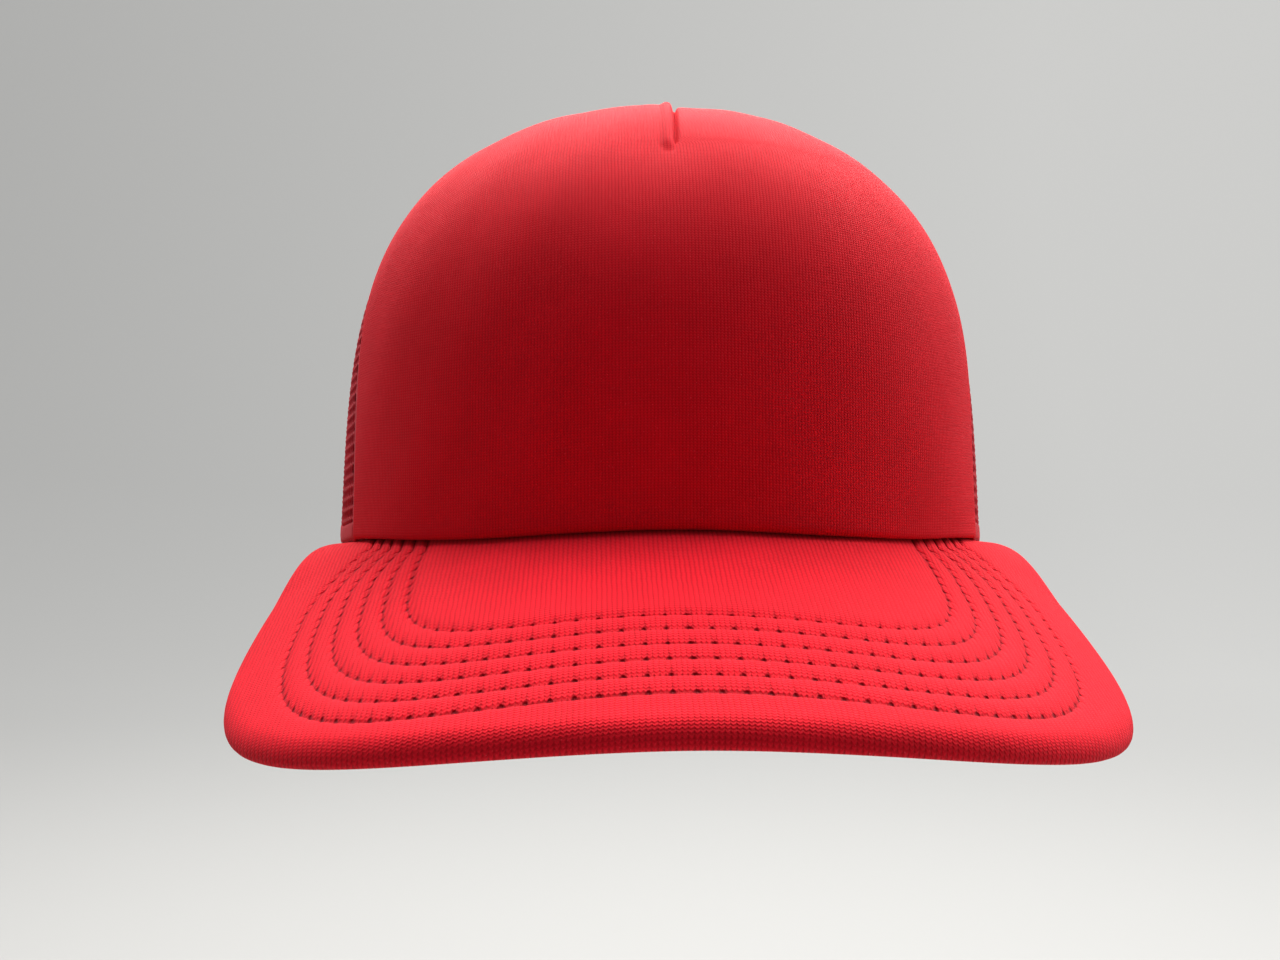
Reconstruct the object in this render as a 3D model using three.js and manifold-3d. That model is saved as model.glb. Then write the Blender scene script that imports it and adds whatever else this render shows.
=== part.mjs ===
// A five-panel trucker cap: foam-backed knit front, mesh sides and back, padded curved
// visor and a plastic snap strap across an arched opening at the back.
// Millimetres, +Z up. The cap faces -Y and its head opening lies on z = 0 around the Z axis.
// The wearer's left is +X.

import * as THREE from 'three';
import { mergeVertices } from 'three/addons/utils/BufferGeometryUtils.js';
import Module from 'manifold-3d';

const wasm = await Module();
wasm.setup();

// Crown
const HALF_WIDTH = 83;
const FRONT_REACH = 100;
const BACK_REACH = 102;
const OVAL_POWER = 2.3;
const CROWN_HEIGHT = 108;
const WALL_POWER = { side: 3.8, front: 4.6, back: 2.7 };
const ROOF_POWER = { side: 2.2, front: 2.05, back: 2.05 };
const WALL_TAPER = 0.066;
const CREST_RISE = 2.4;
const GAP = 0.3;

// Layers of the crown, as depths below its outer surface
const FACE_LAYER = [0, 0.7];
const FOAM_LAYER = [1.0, 2.8];
const MESH_LAYER = [0.6, 1.6];
const TAPE_LAYER = [3.4, 4.0];
const BAND_OUTER_PLY = [4.4, 4.8];
const BAND_FOAM_LAYER = [5.1, 6.0];
const BAND_INNER_PLY = [6.3, 6.7];
const BAND_STITCH_LAYER = [7.0, 7.4];

// Seams, as turns around the crown: 0 is the front centre and 180 the back centre
const FRONT_SEAM = { foot: 61, top: 92 };
const SIDE_SEAM = { foot: 122, top: 136 };
const CENTRE_SEAM = { foot: 180, top: 180 };
const SEAM_BEND = 1.4;
const PANEL_END = 0.981;
const ROW_SPREAD = 1.6;
const TAPE_WIDTH = 13;
const DART_LENGTH = 75;

// Visor
const VISOR_LIFT = 38;
const VISOR_TILT = THREE.MathUtils.degToRad(17.3);
const VISOR_BEND_RADIUS = 169;
const VISOR_HALF_WIDTH = 90;
const VISOR_WIDEST = -96;
const VISOR_TIP = -174.4;
const VISOR_POWER = 2.25;
const TEMPLE = { x: 81.5, y: -35 };
const TEMPLE_TURN = 73;
const LEVEL_FROM = -75;
const LEVEL_TO = -34;
const FRONT_SHARE = 0.72;
const VISOR_TUCK = 3.6;
const COVER_THICKNESS = 0.7;
const VISOR_THICKNESS = 5.6;
const RIM_INSET = 2.6;
const TOP_FOAM = { inset: 3.2, top: 1.05, bottom: 2.2 };
const BOARD = { inset: 3.4, top: 2.5, bottom: 4.3 };
const UNDER_COVER = { inset: 3.4, top: 4.65, bottom: 5.35 };
const STITCH_ROWS = 6;
const FIRST_ROW = { x: 54, y: -135.8, power: 3.4, turn: 36 };
const ROW_STEP = { x: 4.65, y: -5.65, power: -0.1, turn: 2.8 };

// Sweatband
const BAND_HEIGHT = 32;
const BAND_HEM = 30;
const BAND_TURN = 147;
const BAND_DROP = 4.5;
const BAND_FOAM_RISE = [1, 28];
const BAND_STITCH_RISE = [5, 5.8];

// Back opening and snap strap
const ARCH_HALF_WIDTH = 45;
const ARCH_HEIGHT = 57;
const ARCH_POWER = 2.2;
const ARCH_STEPS = 32;
const BINDING_WIDTH = 7;
const STRAP_BOTTOM = 3;
const STRAP_TOP = 21;
const STRAP_THICKNESS = 1;
const HINGE_X = 39.5;
const TAB_END = 57;
const STRAP_DEPTH = { inner: 3.4, outer: 2.1 };
const STEP_END = 33.5;
const PEG_PITCH = 8;
const PEG_COUNT = 7;
const FIRST_PEG = -13.5;
const FIRST_HOLE = -29.5;
const PEG_TIP = -18.5;
const HOLE_TIP = 23.5;
const PEG_RADIUS = 1.8;
const PEG_HEIGHT = 2.3;
const HOLE_RADIUS = 2.6;

// Button
const BUTTON_SEAT = CROWN_HEIGHT + 0.45;
const BUTTON_RADIUS = 7.5;
const BUTTON_HEIGHT = 4.8;
const TACK_RADIUS = 6;

// Facets across and up the panels, the visor and the sweatband
const FRONT_STEPS = 20;
const SIDE_STEPS = 8;
const PANEL_ROWS = 11;
const BACK_STEPS = 11;
const BACK_ROWS = 15;
const VISOR_STEPS = { across: 34, out: 4 };
const BAND_STEPS = 44;

const COLOURS = {
  knit: { color: 0xc41426, roughness: 0.9 },
  foam: { color: 0xe9e4da, roughness: 1 },
  net: { color: 0xb01222, roughness: 0.7 },
  tape: { color: 0xb41525, roughness: 0.85 },
  thread: { color: 0xa50f1e, roughness: 0.7 },
  plastic: { color: 0xc01425, roughness: 0.4 },
  board: { color: 0xdedad2, roughness: 0.6 },
  steel: { color: 0xb9b9b6, roughness: 0.35, metalness: 1 },
};

const { lerp, smoothstep, degToRad } = THREE.MathUtils;
const signedPower = (value, power) => Math.sign(value) * Math.abs(value) ** (2 / power);

// ---- Closed bodies -------------------------------------------------------

function closedBody(positions, index) {
  const body = new THREE.BufferGeometry();
  body.setAttribute('position', new THREE.Float32BufferAttribute(positions, 3));
  if (signedVolume(positions, index) < 0) {
    index.reverse();
  }
  body.setIndex(index);
  body.computeVertexNormals();
  return body;
}

function signedVolume(positions, index) {
  const corner = (i) => new THREE.Vector3().fromArray(positions, 3 * index[i]);
  let volume = 0;
  for (let i = 0; i < index.length; i += 3) {
    volume += corner(i).dot(corner(i + 1).cross(corner(i + 2))) / 6;
  }
  return volume;
}

// A sheet between two surfaces, each a function of (u, v) from 0 to 1.
function sheet(outer, inner, across, along) {
  const rows = along + 1;
  const positions = [];
  for (const face of [outer, inner]) {
    for (let i = 0; i <= across; i++) {
      for (let j = 0; j <= along; j++) {
        positions.push(...face(i / across, j / along).toArray());
      }
    }
  }
  const at = (side, i, j) => side * (across + 1) * rows + i * rows + j;
  const index = [];
  const quad = (a, b, c, d) => index.push(a, b, c, a, c, d);
  for (let i = 0; i < across; i++) {
    for (let j = 0; j < along; j++) {
      quad(at(0, i, j), at(0, i + 1, j), at(0, i + 1, j + 1), at(0, i, j + 1));
      quad(at(1, i, j), at(1, i, j + 1), at(1, i + 1, j + 1), at(1, i + 1, j));
    }
    quad(at(0, i, 0), at(1, i, 0), at(1, i + 1, 0), at(0, i + 1, 0));
    quad(at(0, i, along), at(0, i + 1, along), at(1, i + 1, along), at(1, i, along));
  }
  for (let j = 0; j < along; j++) {
    quad(at(0, 0, j), at(0, 0, j + 1), at(1, 0, j + 1), at(1, 0, j));
    quad(at(0, across, j), at(1, across, j), at(1, across, j + 1), at(0, across, j + 1));
  }
  return closedBody(positions, index);
}

// A closed flat profile carried along a path by place(u, profilePoint), with flat ends.
function sweep(profile, place, steps) {
  const count = profile.length;
  const positions = [];
  for (let i = 0; i <= steps; i++) {
    for (const point of profile) {
      positions.push(...place(i / steps, point).toArray());
    }
  }
  const index = [];
  for (let i = 0; i < steps; i++) {
    for (let j = 0; j < count; j++) {
      const next = (j + 1) % count;
      const a = i * count + j;
      const b = i * count + next;
      index.push(a, b, b + count, a, b + count, a + count);
    }
  }
  const last = steps * count;
  for (const [a, b, c] of THREE.ShapeUtils.triangulateShape(profile, [])) {
    index.push(c, b, a);
    index.push(last + a, last + b, last + c);
  }
  return closedBody(positions, index);
}

const pairs = (list) => list.map(([x, y]) => new THREE.Vector2(x, y));

function loop(list) {
  const points = pairs(list);
  return THREE.ShapeUtils.isClockWise(points) ? points.reverse() : points;
}

const block = ([x0, x1], [y0, y1]) => loop([[x0, y0], [x1, y0], [x1, y1], [x0, y1]]);

function toSolid(geometry) {
  const bare = geometry.clone();
  bare.deleteAttribute('normal');
  bare.deleteAttribute('uv');
  const merged = mergeVertices(bare, 1e-4);
  return new wasm.Manifold(new wasm.Mesh({
    numProp: 3,
    vertProperties: new Float32Array(merged.attributes.position.array),
    triVerts: new Uint32Array(merged.index.array),
  }));
}

function fromSolid(solid) {
  const mesh = solid.getMesh();
  return closedBody(Array.from(mesh.vertProperties), Array.from(mesh.triVerts));
}

// ---- The crown and visor surfaces ----------------------------------------

// Height of the visor's upper surface, which also carries the crown's lower front edge.
function visorHeight(x, y) {
  const sag = VISOR_BEND_RADIUS - Math.sqrt(VISOR_BEND_RADIUS ** 2 - x * x);
  const rolled = VISOR_LIFT + y * Math.tan(VISOR_TILT) - sag / Math.cos(VISOR_TILT);
  return rolled * (1 - smoothstep(y, LEVEL_FROM, LEVEL_TO)) - GAP;
}

// The crown's plan outline at a depth inside its outer surface.
function ovalPoint(turn, depth = 0) {
  const reach = (Math.cos(turn) > 0 ? FRONT_REACH : BACK_REACH) - depth;
  return {
    x: (HALF_WIDTH - depth) * signedPower(Math.sin(turn), OVAL_POWER),
    y: -reach * signedPower(Math.cos(turn), OVAL_POWER),
  };
}

function shapePower(powers, turn) {
  const cosine = Math.cos(turn);
  const end = cosine > 0 ? powers.front : powers.back;
  return lerp(powers.side, end, cosine * cosine);
}

// A point of the crown: lift runs from 0 at its lower edge to 1 at the apex.
function crownPoint(turn, lift, depth) {
  const foot = ovalPoint(turn, depth);
  const base = visorHeight(foot.x, foot.y) + GAP;
  const wall = shapePower(WALL_POWER, turn);
  const roof = shapePower(ROOF_POWER, turn);
  const reach = Math.max(1 - lift ** wall, 0) ** (1 / roof);
  const shrink = reach * (1 - WALL_TAPER * lift);
  const crest = CREST_RISE * Math.max(Math.cos(turn), 0) ** 2 * (4 * reach * (1 - reach)) ** 2;
  const z = lerp(base, CROWN_HEIGHT - depth, lift) + crest;
  return new THREE.Vector3(foot.x * shrink, foot.y * shrink, z);
}

// The lift at a share of the way up a meridian, with rows close together at the shoulder.
function liftAt(turn, share) {
  const arc = PANEL_END * share ** ROW_SPREAD * Math.PI / 2;
  return Math.sin(arc) ** (2 / shapePower(WALL_POWER, turn));
}

const seamTurn = (seam, share) => degToRad(lerp(seam.foot, seam.top, share ** SEAM_BEND));

// A point of the back of the crown from its place seen from behind.
function backPoint(x, z, depth) {
  const lift = z / (CROWN_HEIGHT - depth);
  let turn = Math.PI;
  for (let pass = 0; pass < 20; pass++) {
    const wall = shapePower(WALL_POWER, turn);
    const roof = shapePower(ROOF_POWER, turn);
    const shrink = (1 - Math.max(lift, 0) ** wall) ** (1 / roof) * (1 - WALL_TAPER * lift);
    const across = Math.abs(x) / ((HALF_WIDTH - depth) * shrink);
    turn = Math.PI - Math.asin(Math.min(across ** (OVAL_POWER / 2), 1));
  }
  const point = crownPoint(turn, Math.max(lift, 0), depth);
  return new THREE.Vector3(x, point.y, z);
}

// ---- Crown pieces --------------------------------------------------------

// A crown panel between two seams; side is 1 or -1 and mirrors the panel.
function panel(fromSeam, toSeam, layer, across, along, side = 1) {
  const surface = (depth) => (u, v) => {
    const arc = PANEL_END * v ** ROW_SPREAD * Math.PI / 2;
    const ease = GAP / 2 / (HALF_WIDTH * Math.cos(arc));
    const from = seamTurn(fromSeam, v) + ease;
    const to = seamTurn(toSeam, v) - ease;
    const turn = lerp(from, to, u);
    return crownPoint(side * turn, liftAt(turn, v), depth);
  };
  return sheet(surface(layer[0]), surface(layer[1]), across, along);
}

function frontPanel(layer) {
  const leftSeam = { foot: -FRONT_SEAM.foot, top: -FRONT_SEAM.top };
  return panel(leftSeam, FRONT_SEAM, layer, FRONT_STEPS, PANEL_ROWS);
}

function backMesh(side) {
  const body = toSolid(panel(SIDE_SEAM, CENTRE_SEAM, MESH_LAYER, BACK_STEPS, BACK_ROWS, side));
  const fromBehind = new THREE.Shape(archOutline());
  const cutter = new THREE.ExtrudeGeometry(fromBehind, { depth: 80, bevelEnabled: false });
  cutter.rotateX(Math.PI / 2);
  cutter.translate(0, 130, 0);
  return fromSolid(body.subtract(toSolid(cutter)));
}

// The arched opening seen from behind, closed below the crown.
function archOutline() {
  const outline = [];
  for (let i = 0; i <= ARCH_STEPS; i++) {
    const place = archPlace(i / ARCH_STEPS, 0);
    outline.push(new THREE.Vector2(place.x, Math.max(place.z, 0)));
  }
  outline.push(new THREE.Vector2(-ARCH_HALF_WIDTH, -5));
  outline.push(new THREE.Vector2(ARCH_HALF_WIDTH, -5));
  return outline;
}

function archPlace(share, margin) {
  const angle = share * Math.PI;
  return {
    x: (ARCH_HALF_WIDTH + margin) * signedPower(Math.cos(angle), ARCH_POWER),
    z: (ARCH_HEIGHT + margin) * signedPower(Math.sin(angle), ARCH_POWER),
  };
}

function backBinding() {
  const outerFace = -0.5;
  const innerFace = 2.5;
  const ply = 0.6;
  const fold = -1.3;
  const edge = -0.6;
  const profile = loop([
    [BINDING_WIDTH, outerFace], [fold, outerFace], [fold, innerFace], [BINDING_WIDTH, innerFace],
    [BINDING_WIDTH, innerFace - ply], [edge, innerFace - ply],
    [edge, outerFace + ply], [BINDING_WIDTH, outerFace + ply],
  ]);
  const place = (u, { x: margin, y: depth }) => {
    const spot = archPlace(u, margin);
    return backPoint(spot.x, Math.max(spot.z, 0), depth);
  };
  return sweep(profile, place, ARCH_STEPS);
}

// A tape on the inside of a seam, from a start to an end share of the meridian.
function seamTape(seam, start, end, side, steps = 16) {
  const surface = (depth) => (u, v) => {
    const share = lerp(start, end, v);
    const turn = seamTurn(seam, share);
    const middle = crownPoint(turn, liftAt(turn, share), depth);
    const offset = (u - 0.5) * TAPE_WIDTH / Math.hypot(middle.x, middle.y);
    return crownPoint(side * (turn + offset), liftAt(turn, share), depth);
  };
  return sheet(surface(TAPE_LAYER[0]), surface(TAPE_LAYER[1]), 2, steps);
}

// The dart's tape runs forward from the button over the top of the front panel.
function dartTape() {
  const surface = (depth) => (u, v) => {
    const forward = lerp(9, DART_LENGTH, v);
    const reach = forward / (FRONT_REACH - depth) / (1 - WALL_TAPER * 0.95);
    const lift = (1 - reach ** ROOF_POWER.front) ** (1 / WALL_POWER.front);
    const turn = (u - 0.5) * TAPE_WIDTH / forward;
    return crownPoint(turn, lift, depth);
  };
  return sheet(surface(TAPE_LAYER[0]), surface(TAPE_LAYER[1]), 2, 8);
}

// ---- Sweatband -----------------------------------------------------------

// The band hangs a little lower at the front, where it covers the visor's inner edge.
function bandPoint(turn, depth, height) {
  const drop = BAND_DROP * (1 - smoothstep(Math.abs(turn), degToRad(55), degToRad(TEMPLE_TURN)));
  const local = height - drop;
  const foot = ovalPoint(turn, depth);
  const base = visorHeight(foot.x, foot.y) + GAP;
  const lift = Math.max(local, 0) / (CROWN_HEIGHT - depth - base);
  const point = crownPoint(turn, lift, depth);
  point.z = base + local;
  return point;
}

function aroundBand(profile) {
  const limit = degToRad(BAND_TURN);
  const place = (u, { x: depth, y: height }) => bandPoint(lerp(-limit, limit, u), depth, height);
  return sweep(profile, place, BAND_STEPS);
}

function sweatbandCover() {
  const ply = BAND_OUTER_PLY[1] - BAND_OUTER_PLY[0];
  const foot = GAP;
  return aroundBand(loop([
    [BAND_OUTER_PLY[0], BAND_HEM], [BAND_OUTER_PLY[0], foot],
    [BAND_INNER_PLY[1], foot], [BAND_INNER_PLY[1], BAND_HEIGHT],
    [BAND_INNER_PLY[0], BAND_HEIGHT], [BAND_INNER_PLY[0], foot + ply],
    [BAND_OUTER_PLY[1], foot + ply], [BAND_OUTER_PLY[1], BAND_HEM],
  ]));
}

// ---- Visor ---------------------------------------------------------------

// The visor's outline, drawn in by an inset; s runs from -1 at one temple to 1 at the other.
function visorOutline(s, inset) {
  const side = Math.sign(s) || 1;
  const along = Math.abs(s);
  const half = VISOR_HALF_WIDTH - inset;
  if (along < FRONT_SHARE) {
    const angle = along / FRONT_SHARE * Math.PI / 2;
    const x = half * signedPower(Math.sin(angle), VISOR_POWER);
    const length = VISOR_WIDEST - VISOR_TIP - inset;
    return new THREE.Vector2(side * x, VISOR_WIDEST - length * signedPower(Math.cos(angle), VISOR_POWER));
  }
  const flank = new THREE.CubicBezierCurve(
    new THREE.Vector2(half, VISOR_WIDEST),
    new THREE.Vector2(half, VISOR_WIDEST + 24),
    new THREE.Vector2(half - 5.5, VISOR_WIDEST + 44),
    new THREE.Vector2(TEMPLE.x - inset, TEMPLE.y),
  );
  const point = flank.getPoint((along - FRONT_SHARE) / (1 - FRONT_SHARE));
  point.x *= side;
  return point;
}

// A point of the visor: share runs from 0 at the crown to 1 at the inset outline.
function visorPoint(s, share, inset, depth, tuck = VISOR_TUCK) {
  const root = ovalPoint(degToRad(TEMPLE_TURN) * s, tuck);
  const rim = visorOutline(s, inset);
  const x = lerp(root.x, rim.x, share);
  const y = lerp(root.y, rim.y, share);
  return new THREE.Vector3(x, y, visorHeight(x, y) - depth);
}

function visorPlate({ inset, top, bottom }) {
  const surface = (depth) => (u, v) => visorPoint(2 * u - 1, v, inset, depth);
  const flipped = (face) => (u, v) => face(u, 1 - v);
  return sheet(flipped(surface(top)), flipped(surface(bottom)), VISOR_STEPS.across, VISOR_STEPS.out);
}

// The top cover is a plate whose outer edge rolls over the rim to the underside.
function visorTopCover() {
  const flatSteps = 3;
  const middle = VISOR_THICKNESS / 2;
  const rimOf = (radius) => {
    const steps = [];
    for (let k = 0; k <= 4; k++) {
      const angle = k / 4 * Math.PI;
      const inset = RIM_INSET - (radius / middle) * RIM_INSET * Math.sin(angle);
      steps.push([inset, middle - radius * Math.cos(angle)]);
    }
    return steps;
  };
  const rows = flatSteps + 5;
  const surface = (thickness) => {
    const rim = rimOf(middle - thickness);
    return (u, v) => {
      const row = Math.round(v * rows);
      if (row <= flatSteps) {
        return visorPoint(2 * u - 1, row / (flatSteps + 1), RIM_INSET, thickness);
      }
      const [inset, depth] = rim[row - flatSteps - 1];
      return visorPoint(2 * u - 1, 1, inset, depth);
    };
  };
  const flipped = (face) => (u, v) => face(u, 1 - v);
  return sheet(flipped(surface(0)), flipped(surface(COVER_THICKNESS)), VISOR_STEPS.across, rows);
}

// One row of stitching: an arch inside the outline that ends at the crown on both sides.
function stitchRowPoint(row, s) {
  const half = FIRST_ROW.x + ROW_STEP.x * row;
  const front = FIRST_ROW.y + ROW_STEP.y * row;
  const power = FIRST_ROW.power + ROW_STEP.power * row;
  const side = Math.sign(s) || 1;
  const along = Math.abs(s);
  const straightFrom = 0.82;
  if (along < straightFrom) {
    const angle = along / straightFrom * Math.PI / 2;
    const x = half * signedPower(Math.sin(angle), power);
    const y = VISOR_WIDEST + (front - VISOR_WIDEST) * signedPower(Math.cos(angle), power);
    return new THREE.Vector2(side * x, y);
  }
  const end = ovalPoint(degToRad(FIRST_ROW.turn + ROW_STEP.turn * row), -1);
  const flank = new THREE.QuadraticBezierCurve(
    new THREE.Vector2(half, VISOR_WIDEST),
    new THREE.Vector2(half, lerp(VISOR_WIDEST, end.y, 0.5)),
    new THREE.Vector2(end.x, end.y),
  );
  const point = flank.getPoint((along - straightFrom) / (1 - straightFrom));
  point.x *= side;
  return point;
}

function visorStitchRow(row) {
  const width = 0.9;
  const height = 0.4;
  const nudge = 1e-3;
  const place = (u, { x: across, y: up }) => {
    const s = 2 * u - 1;
    const here = stitchRowPoint(row, s);
    const ahead = stitchRowPoint(row, Math.min(s + nudge, 1));
    const behind = stitchRowPoint(row, Math.max(s - nudge, -1));
    const along = ahead.sub(behind).normalize();
    const x = here.x - along.y * across;
    const y = here.y + along.x * across;
    return new THREE.Vector3(x, y, visorHeight(x, y) + up);
  };
  return sweep(block([-width / 2, width / 2], [GAP, GAP + height]), place, 36);
}

// ---- Snap strap ----------------------------------------------------------

const strapMiddle = (STRAP_BOTTOM + STRAP_TOP) / 2;

// A strap lies along the back of the crown; its free end is rounded at tip.
function strapBody(from, to, depthAt, tip, steps) {
  const half = (STRAP_TOP - STRAP_BOTTOM) / 2;
  const surface = (offset) => (u, v) => {
    const x = lerp(from, to, u);
    const left = Math.min(Math.abs(x - tip), half);
    const tall = Math.max(Math.sqrt(half * half - (half - left) ** 2), 2);
    return backPoint(x, strapMiddle + (2 * v - 1) * tall, depthAt(x) + offset);
  };
  return sheet(surface(-STRAP_THICKNESS / 2), surface(STRAP_THICKNESS / 2), steps, 2);
}

function onStrap(x, depth, radius, length) {
  const stud = new THREE.CylinderGeometry(radius, radius, length, 10);
  const here = backPoint(x, strapMiddle, depth);
  const ahead = backPoint(x + 1, strapMiddle, depth);
  stud.rotateZ(Math.atan2(ahead.y - here.y, ahead.x - here.x));
  stud.translate(here.x, here.y, here.z);
  return toSolid(stud);
}

const innerDepth = () => STRAP_DEPTH.inner;
const outerDepth = (x) => lerp(
  STRAP_DEPTH.outer, STRAP_DEPTH.inner, smoothstep(-x, STEP_END, HINGE_X - GAP),
);

function pegStrap() {
  let solid = toSolid(strapBody(PEG_TIP, HINGE_X - GAP / 2, innerDepth, PEG_TIP, 14));
  for (let i = 0; i < PEG_COUNT; i++) {
    const depth = STRAP_DEPTH.inner - PEG_HEIGHT / 2 - 0.1;
    solid = solid.add(onStrap(FIRST_PEG + i * PEG_PITCH, depth, PEG_RADIUS, PEG_HEIGHT + 0.6));
  }
  return fromSolid(solid);
}

function holeStrap() {
  let solid = toSolid(strapBody(-HINGE_X + GAP / 2, HOLE_TIP, outerDepth, HOLE_TIP, 16));
  for (let i = 0; i < PEG_COUNT; i++) {
    const x = FIRST_HOLE + i * PEG_PITCH;
    solid = solid.subtract(onStrap(x, STRAP_DEPTH.outer, HOLE_RADIUS, 4));
  }
  return fromSolid(solid);
}

function strapTab(side) {
  const from = side * (HINGE_X + GAP / 2);
  return strapBody(from, side * TAB_END, innerDepth, side * 1000, 5);
}

// Thread that fastens a strap tab: up one side, across and down the other.
function strapTack(side) {
  const left = 46.5;
  const right = 51;
  const low = STRAP_BOTTOM + 1;
  const high = STRAP_TOP - 2;
  const path = new THREE.CatmullRomCurve3([
    [left, low], [left, strapMiddle], [left, high], [right, high], [right, strapMiddle], [right, low],
  ].map(([x, z]) => new THREE.Vector3(side * x, 0, z)), false, 'catmullrom', 0.2);
  const place = (u, { x: across, y: depth }) => {
    const spot = path.getPoint(u);
    const along = path.getTangent(u);
    return backPoint(spot.x - along.z * across, spot.z + along.x * across, depth);
  };
  return sweep(block([-0.4, 0.4], [-1.1, -0.7]), place, 20);
}

// ---- Button --------------------------------------------------------------

function dome(radius, height, thickness) {
  const steps = 5;
  const outline = [];
  for (let i = 0; i <= steps; i++) {
    const angle = i / steps * Math.PI / 2;
    outline.push([radius * Math.cos(angle), BUTTON_SEAT + height * Math.sin(angle)]);
  }
  for (let i = steps; i >= 0; i--) {
    const angle = i / steps * Math.PI / 2;
    const inner = radius - thickness;
    outline.push([inner * Math.cos(angle), BUTTON_SEAT + (height - thickness) * Math.sin(angle)]);
  }
  outline.push(outline[0]);
  return turned(outline, 20);
}

function turned(outline, segments) {
  const lathe = new THREE.LatheGeometry(pairs(outline), segments);
  lathe.rotateX(Math.PI / 2);
  lathe.deleteAttribute('normal');
  lathe.deleteAttribute('uv');
  const merged = mergeVertices(lathe, 1e-4);
  return fromSolid(toSolid(merged));
}

function buttonTack() {
  const headTop = CROWN_HEIGHT - 4.2;
  const headBottom = headTop - 1;
  const stem = 1.6;
  const stemTop = BUTTON_SEAT + BUTTON_HEIGHT - 1.7;
  return turned([
    [0, headBottom], [TACK_RADIUS, headBottom], [TACK_RADIUS, headTop],
    [stem, headTop], [stem, stemTop], [0, stemTop],
  ], 24);
}

// ---- Assembly ------------------------------------------------------------

const cap = new THREE.Group();

function add(name, finish, geometry) {
  const mesh = new THREE.Mesh(geometry, new THREE.MeshStandardMaterial(COLOURS[finish]));
  mesh.name = name;
  cap.add(mesh);
}

add('front_panel_face', 'knit', frontPanel(FACE_LAYER));
add('front_panel_foam', 'foam', frontPanel(FOAM_LAYER));
add('dart_seam_tape', 'tape', dartTape());
for (const [name, side] of [['left', 1], ['right', -1]]) {
  add(`mesh_side_${name}`, 'net', panel(FRONT_SEAM, SIDE_SEAM, MESH_LAYER, SIDE_STEPS, PANEL_ROWS, side));
  add(`mesh_back_${name}`, 'net', backMesh(side));
  add(`front_seam_tape_${name}`, 'tape', seamTape(FRONT_SEAM, 0, 0.94, side));
  add(`side_seam_tape_${name}`, 'tape', seamTape(SIDE_SEAM, 0, 0.83, side));
}
add('centre_seam_tape', 'tape', seamTape(CENTRE_SEAM, 0.5, 0.94, 1, 10));
add('back_opening_binding', 'tape', backBinding());

add('button_cover', 'knit', dome(BUTTON_RADIUS, BUTTON_HEIGHT, 0.5));
add('button_shell', 'steel', dome(BUTTON_RADIUS - 0.8, BUTTON_HEIGHT - 0.8, 0.5));
add('button_tack', 'steel', buttonTack());

add('sweatband_cover', 'knit', sweatbandCover());
add('sweatband_foam', 'foam', aroundBand(block(BAND_FOAM_LAYER, BAND_FOAM_RISE)));
add('sweatband_stitch', 'thread', aroundBand(block(BAND_STITCH_LAYER, BAND_STITCH_RISE)));

add('visor_board', 'board', visorPlate(BOARD));
add('visor_top_foam', 'foam', visorPlate(TOP_FOAM));
add('visor_top_cover', 'knit', visorTopCover());
add('visor_under_cover', 'knit', visorPlate(UNDER_COVER));
for (let row = 0; row < STITCH_ROWS; row++) {
  add(`visor_stitch_row_${row + 1}`, 'thread', visorStitchRow(row));
}

add('peg_strap_tab', 'plastic', strapTab(1));
add('peg_strap', 'plastic', pegStrap());
add('hole_strap_tab', 'plastic', strapTab(-1));
add('hole_strap', 'plastic', holeStrap());
add('strap_tack_left', 'thread', strapTack(1));
add('strap_tack_right', 'thread', strapTack(-1));

export default cap;
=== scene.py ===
import math

import bmesh
import bpy
import numpy as np
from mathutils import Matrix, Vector


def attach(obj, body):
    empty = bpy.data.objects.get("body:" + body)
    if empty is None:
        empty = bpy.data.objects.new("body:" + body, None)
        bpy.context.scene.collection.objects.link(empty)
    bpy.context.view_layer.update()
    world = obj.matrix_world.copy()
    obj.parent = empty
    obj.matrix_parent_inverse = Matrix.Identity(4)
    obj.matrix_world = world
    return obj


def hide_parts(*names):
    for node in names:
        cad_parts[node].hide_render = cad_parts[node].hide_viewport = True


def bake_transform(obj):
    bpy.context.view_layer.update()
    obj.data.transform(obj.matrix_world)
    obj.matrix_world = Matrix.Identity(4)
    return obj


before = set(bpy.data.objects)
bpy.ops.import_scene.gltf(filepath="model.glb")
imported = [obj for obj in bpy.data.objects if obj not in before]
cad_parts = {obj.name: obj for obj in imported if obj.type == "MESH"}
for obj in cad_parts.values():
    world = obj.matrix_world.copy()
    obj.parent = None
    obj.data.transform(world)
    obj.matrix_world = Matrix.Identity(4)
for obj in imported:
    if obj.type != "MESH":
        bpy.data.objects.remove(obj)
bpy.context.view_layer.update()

# Lengths are in millimetres and become metres where a mesh is made.
MM = 0.001

# ---- The cap's dimensions, the same as the CAD model's ---------------------

HALF_WIDTH = 83
FRONT_REACH = 100
BACK_REACH = 102
OVAL_POWER = 2.3
CROWN_HEIGHT = 108
WALL_POWER = (3.8, 4.6, 2.7)
ROOF_POWER = (2.2, 2.05, 2.05)
WALL_TAPER = 0.066
CREST_RISE = 2.4
GAP = 0.3
FRONT_SEAM = (61, 92)
SIDE_SEAM = (122, 136)
CENTRE_SEAM = (180, 180)
SEAM_BEND = 1.4
PANEL_END = 0.981
ROW_SPREAD = 1.6
TAPE_WIDTH = 13
TAPE_ROW = 4.6
TAPE_PITCH = 3.2
DART_LENGTH = 75

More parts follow.
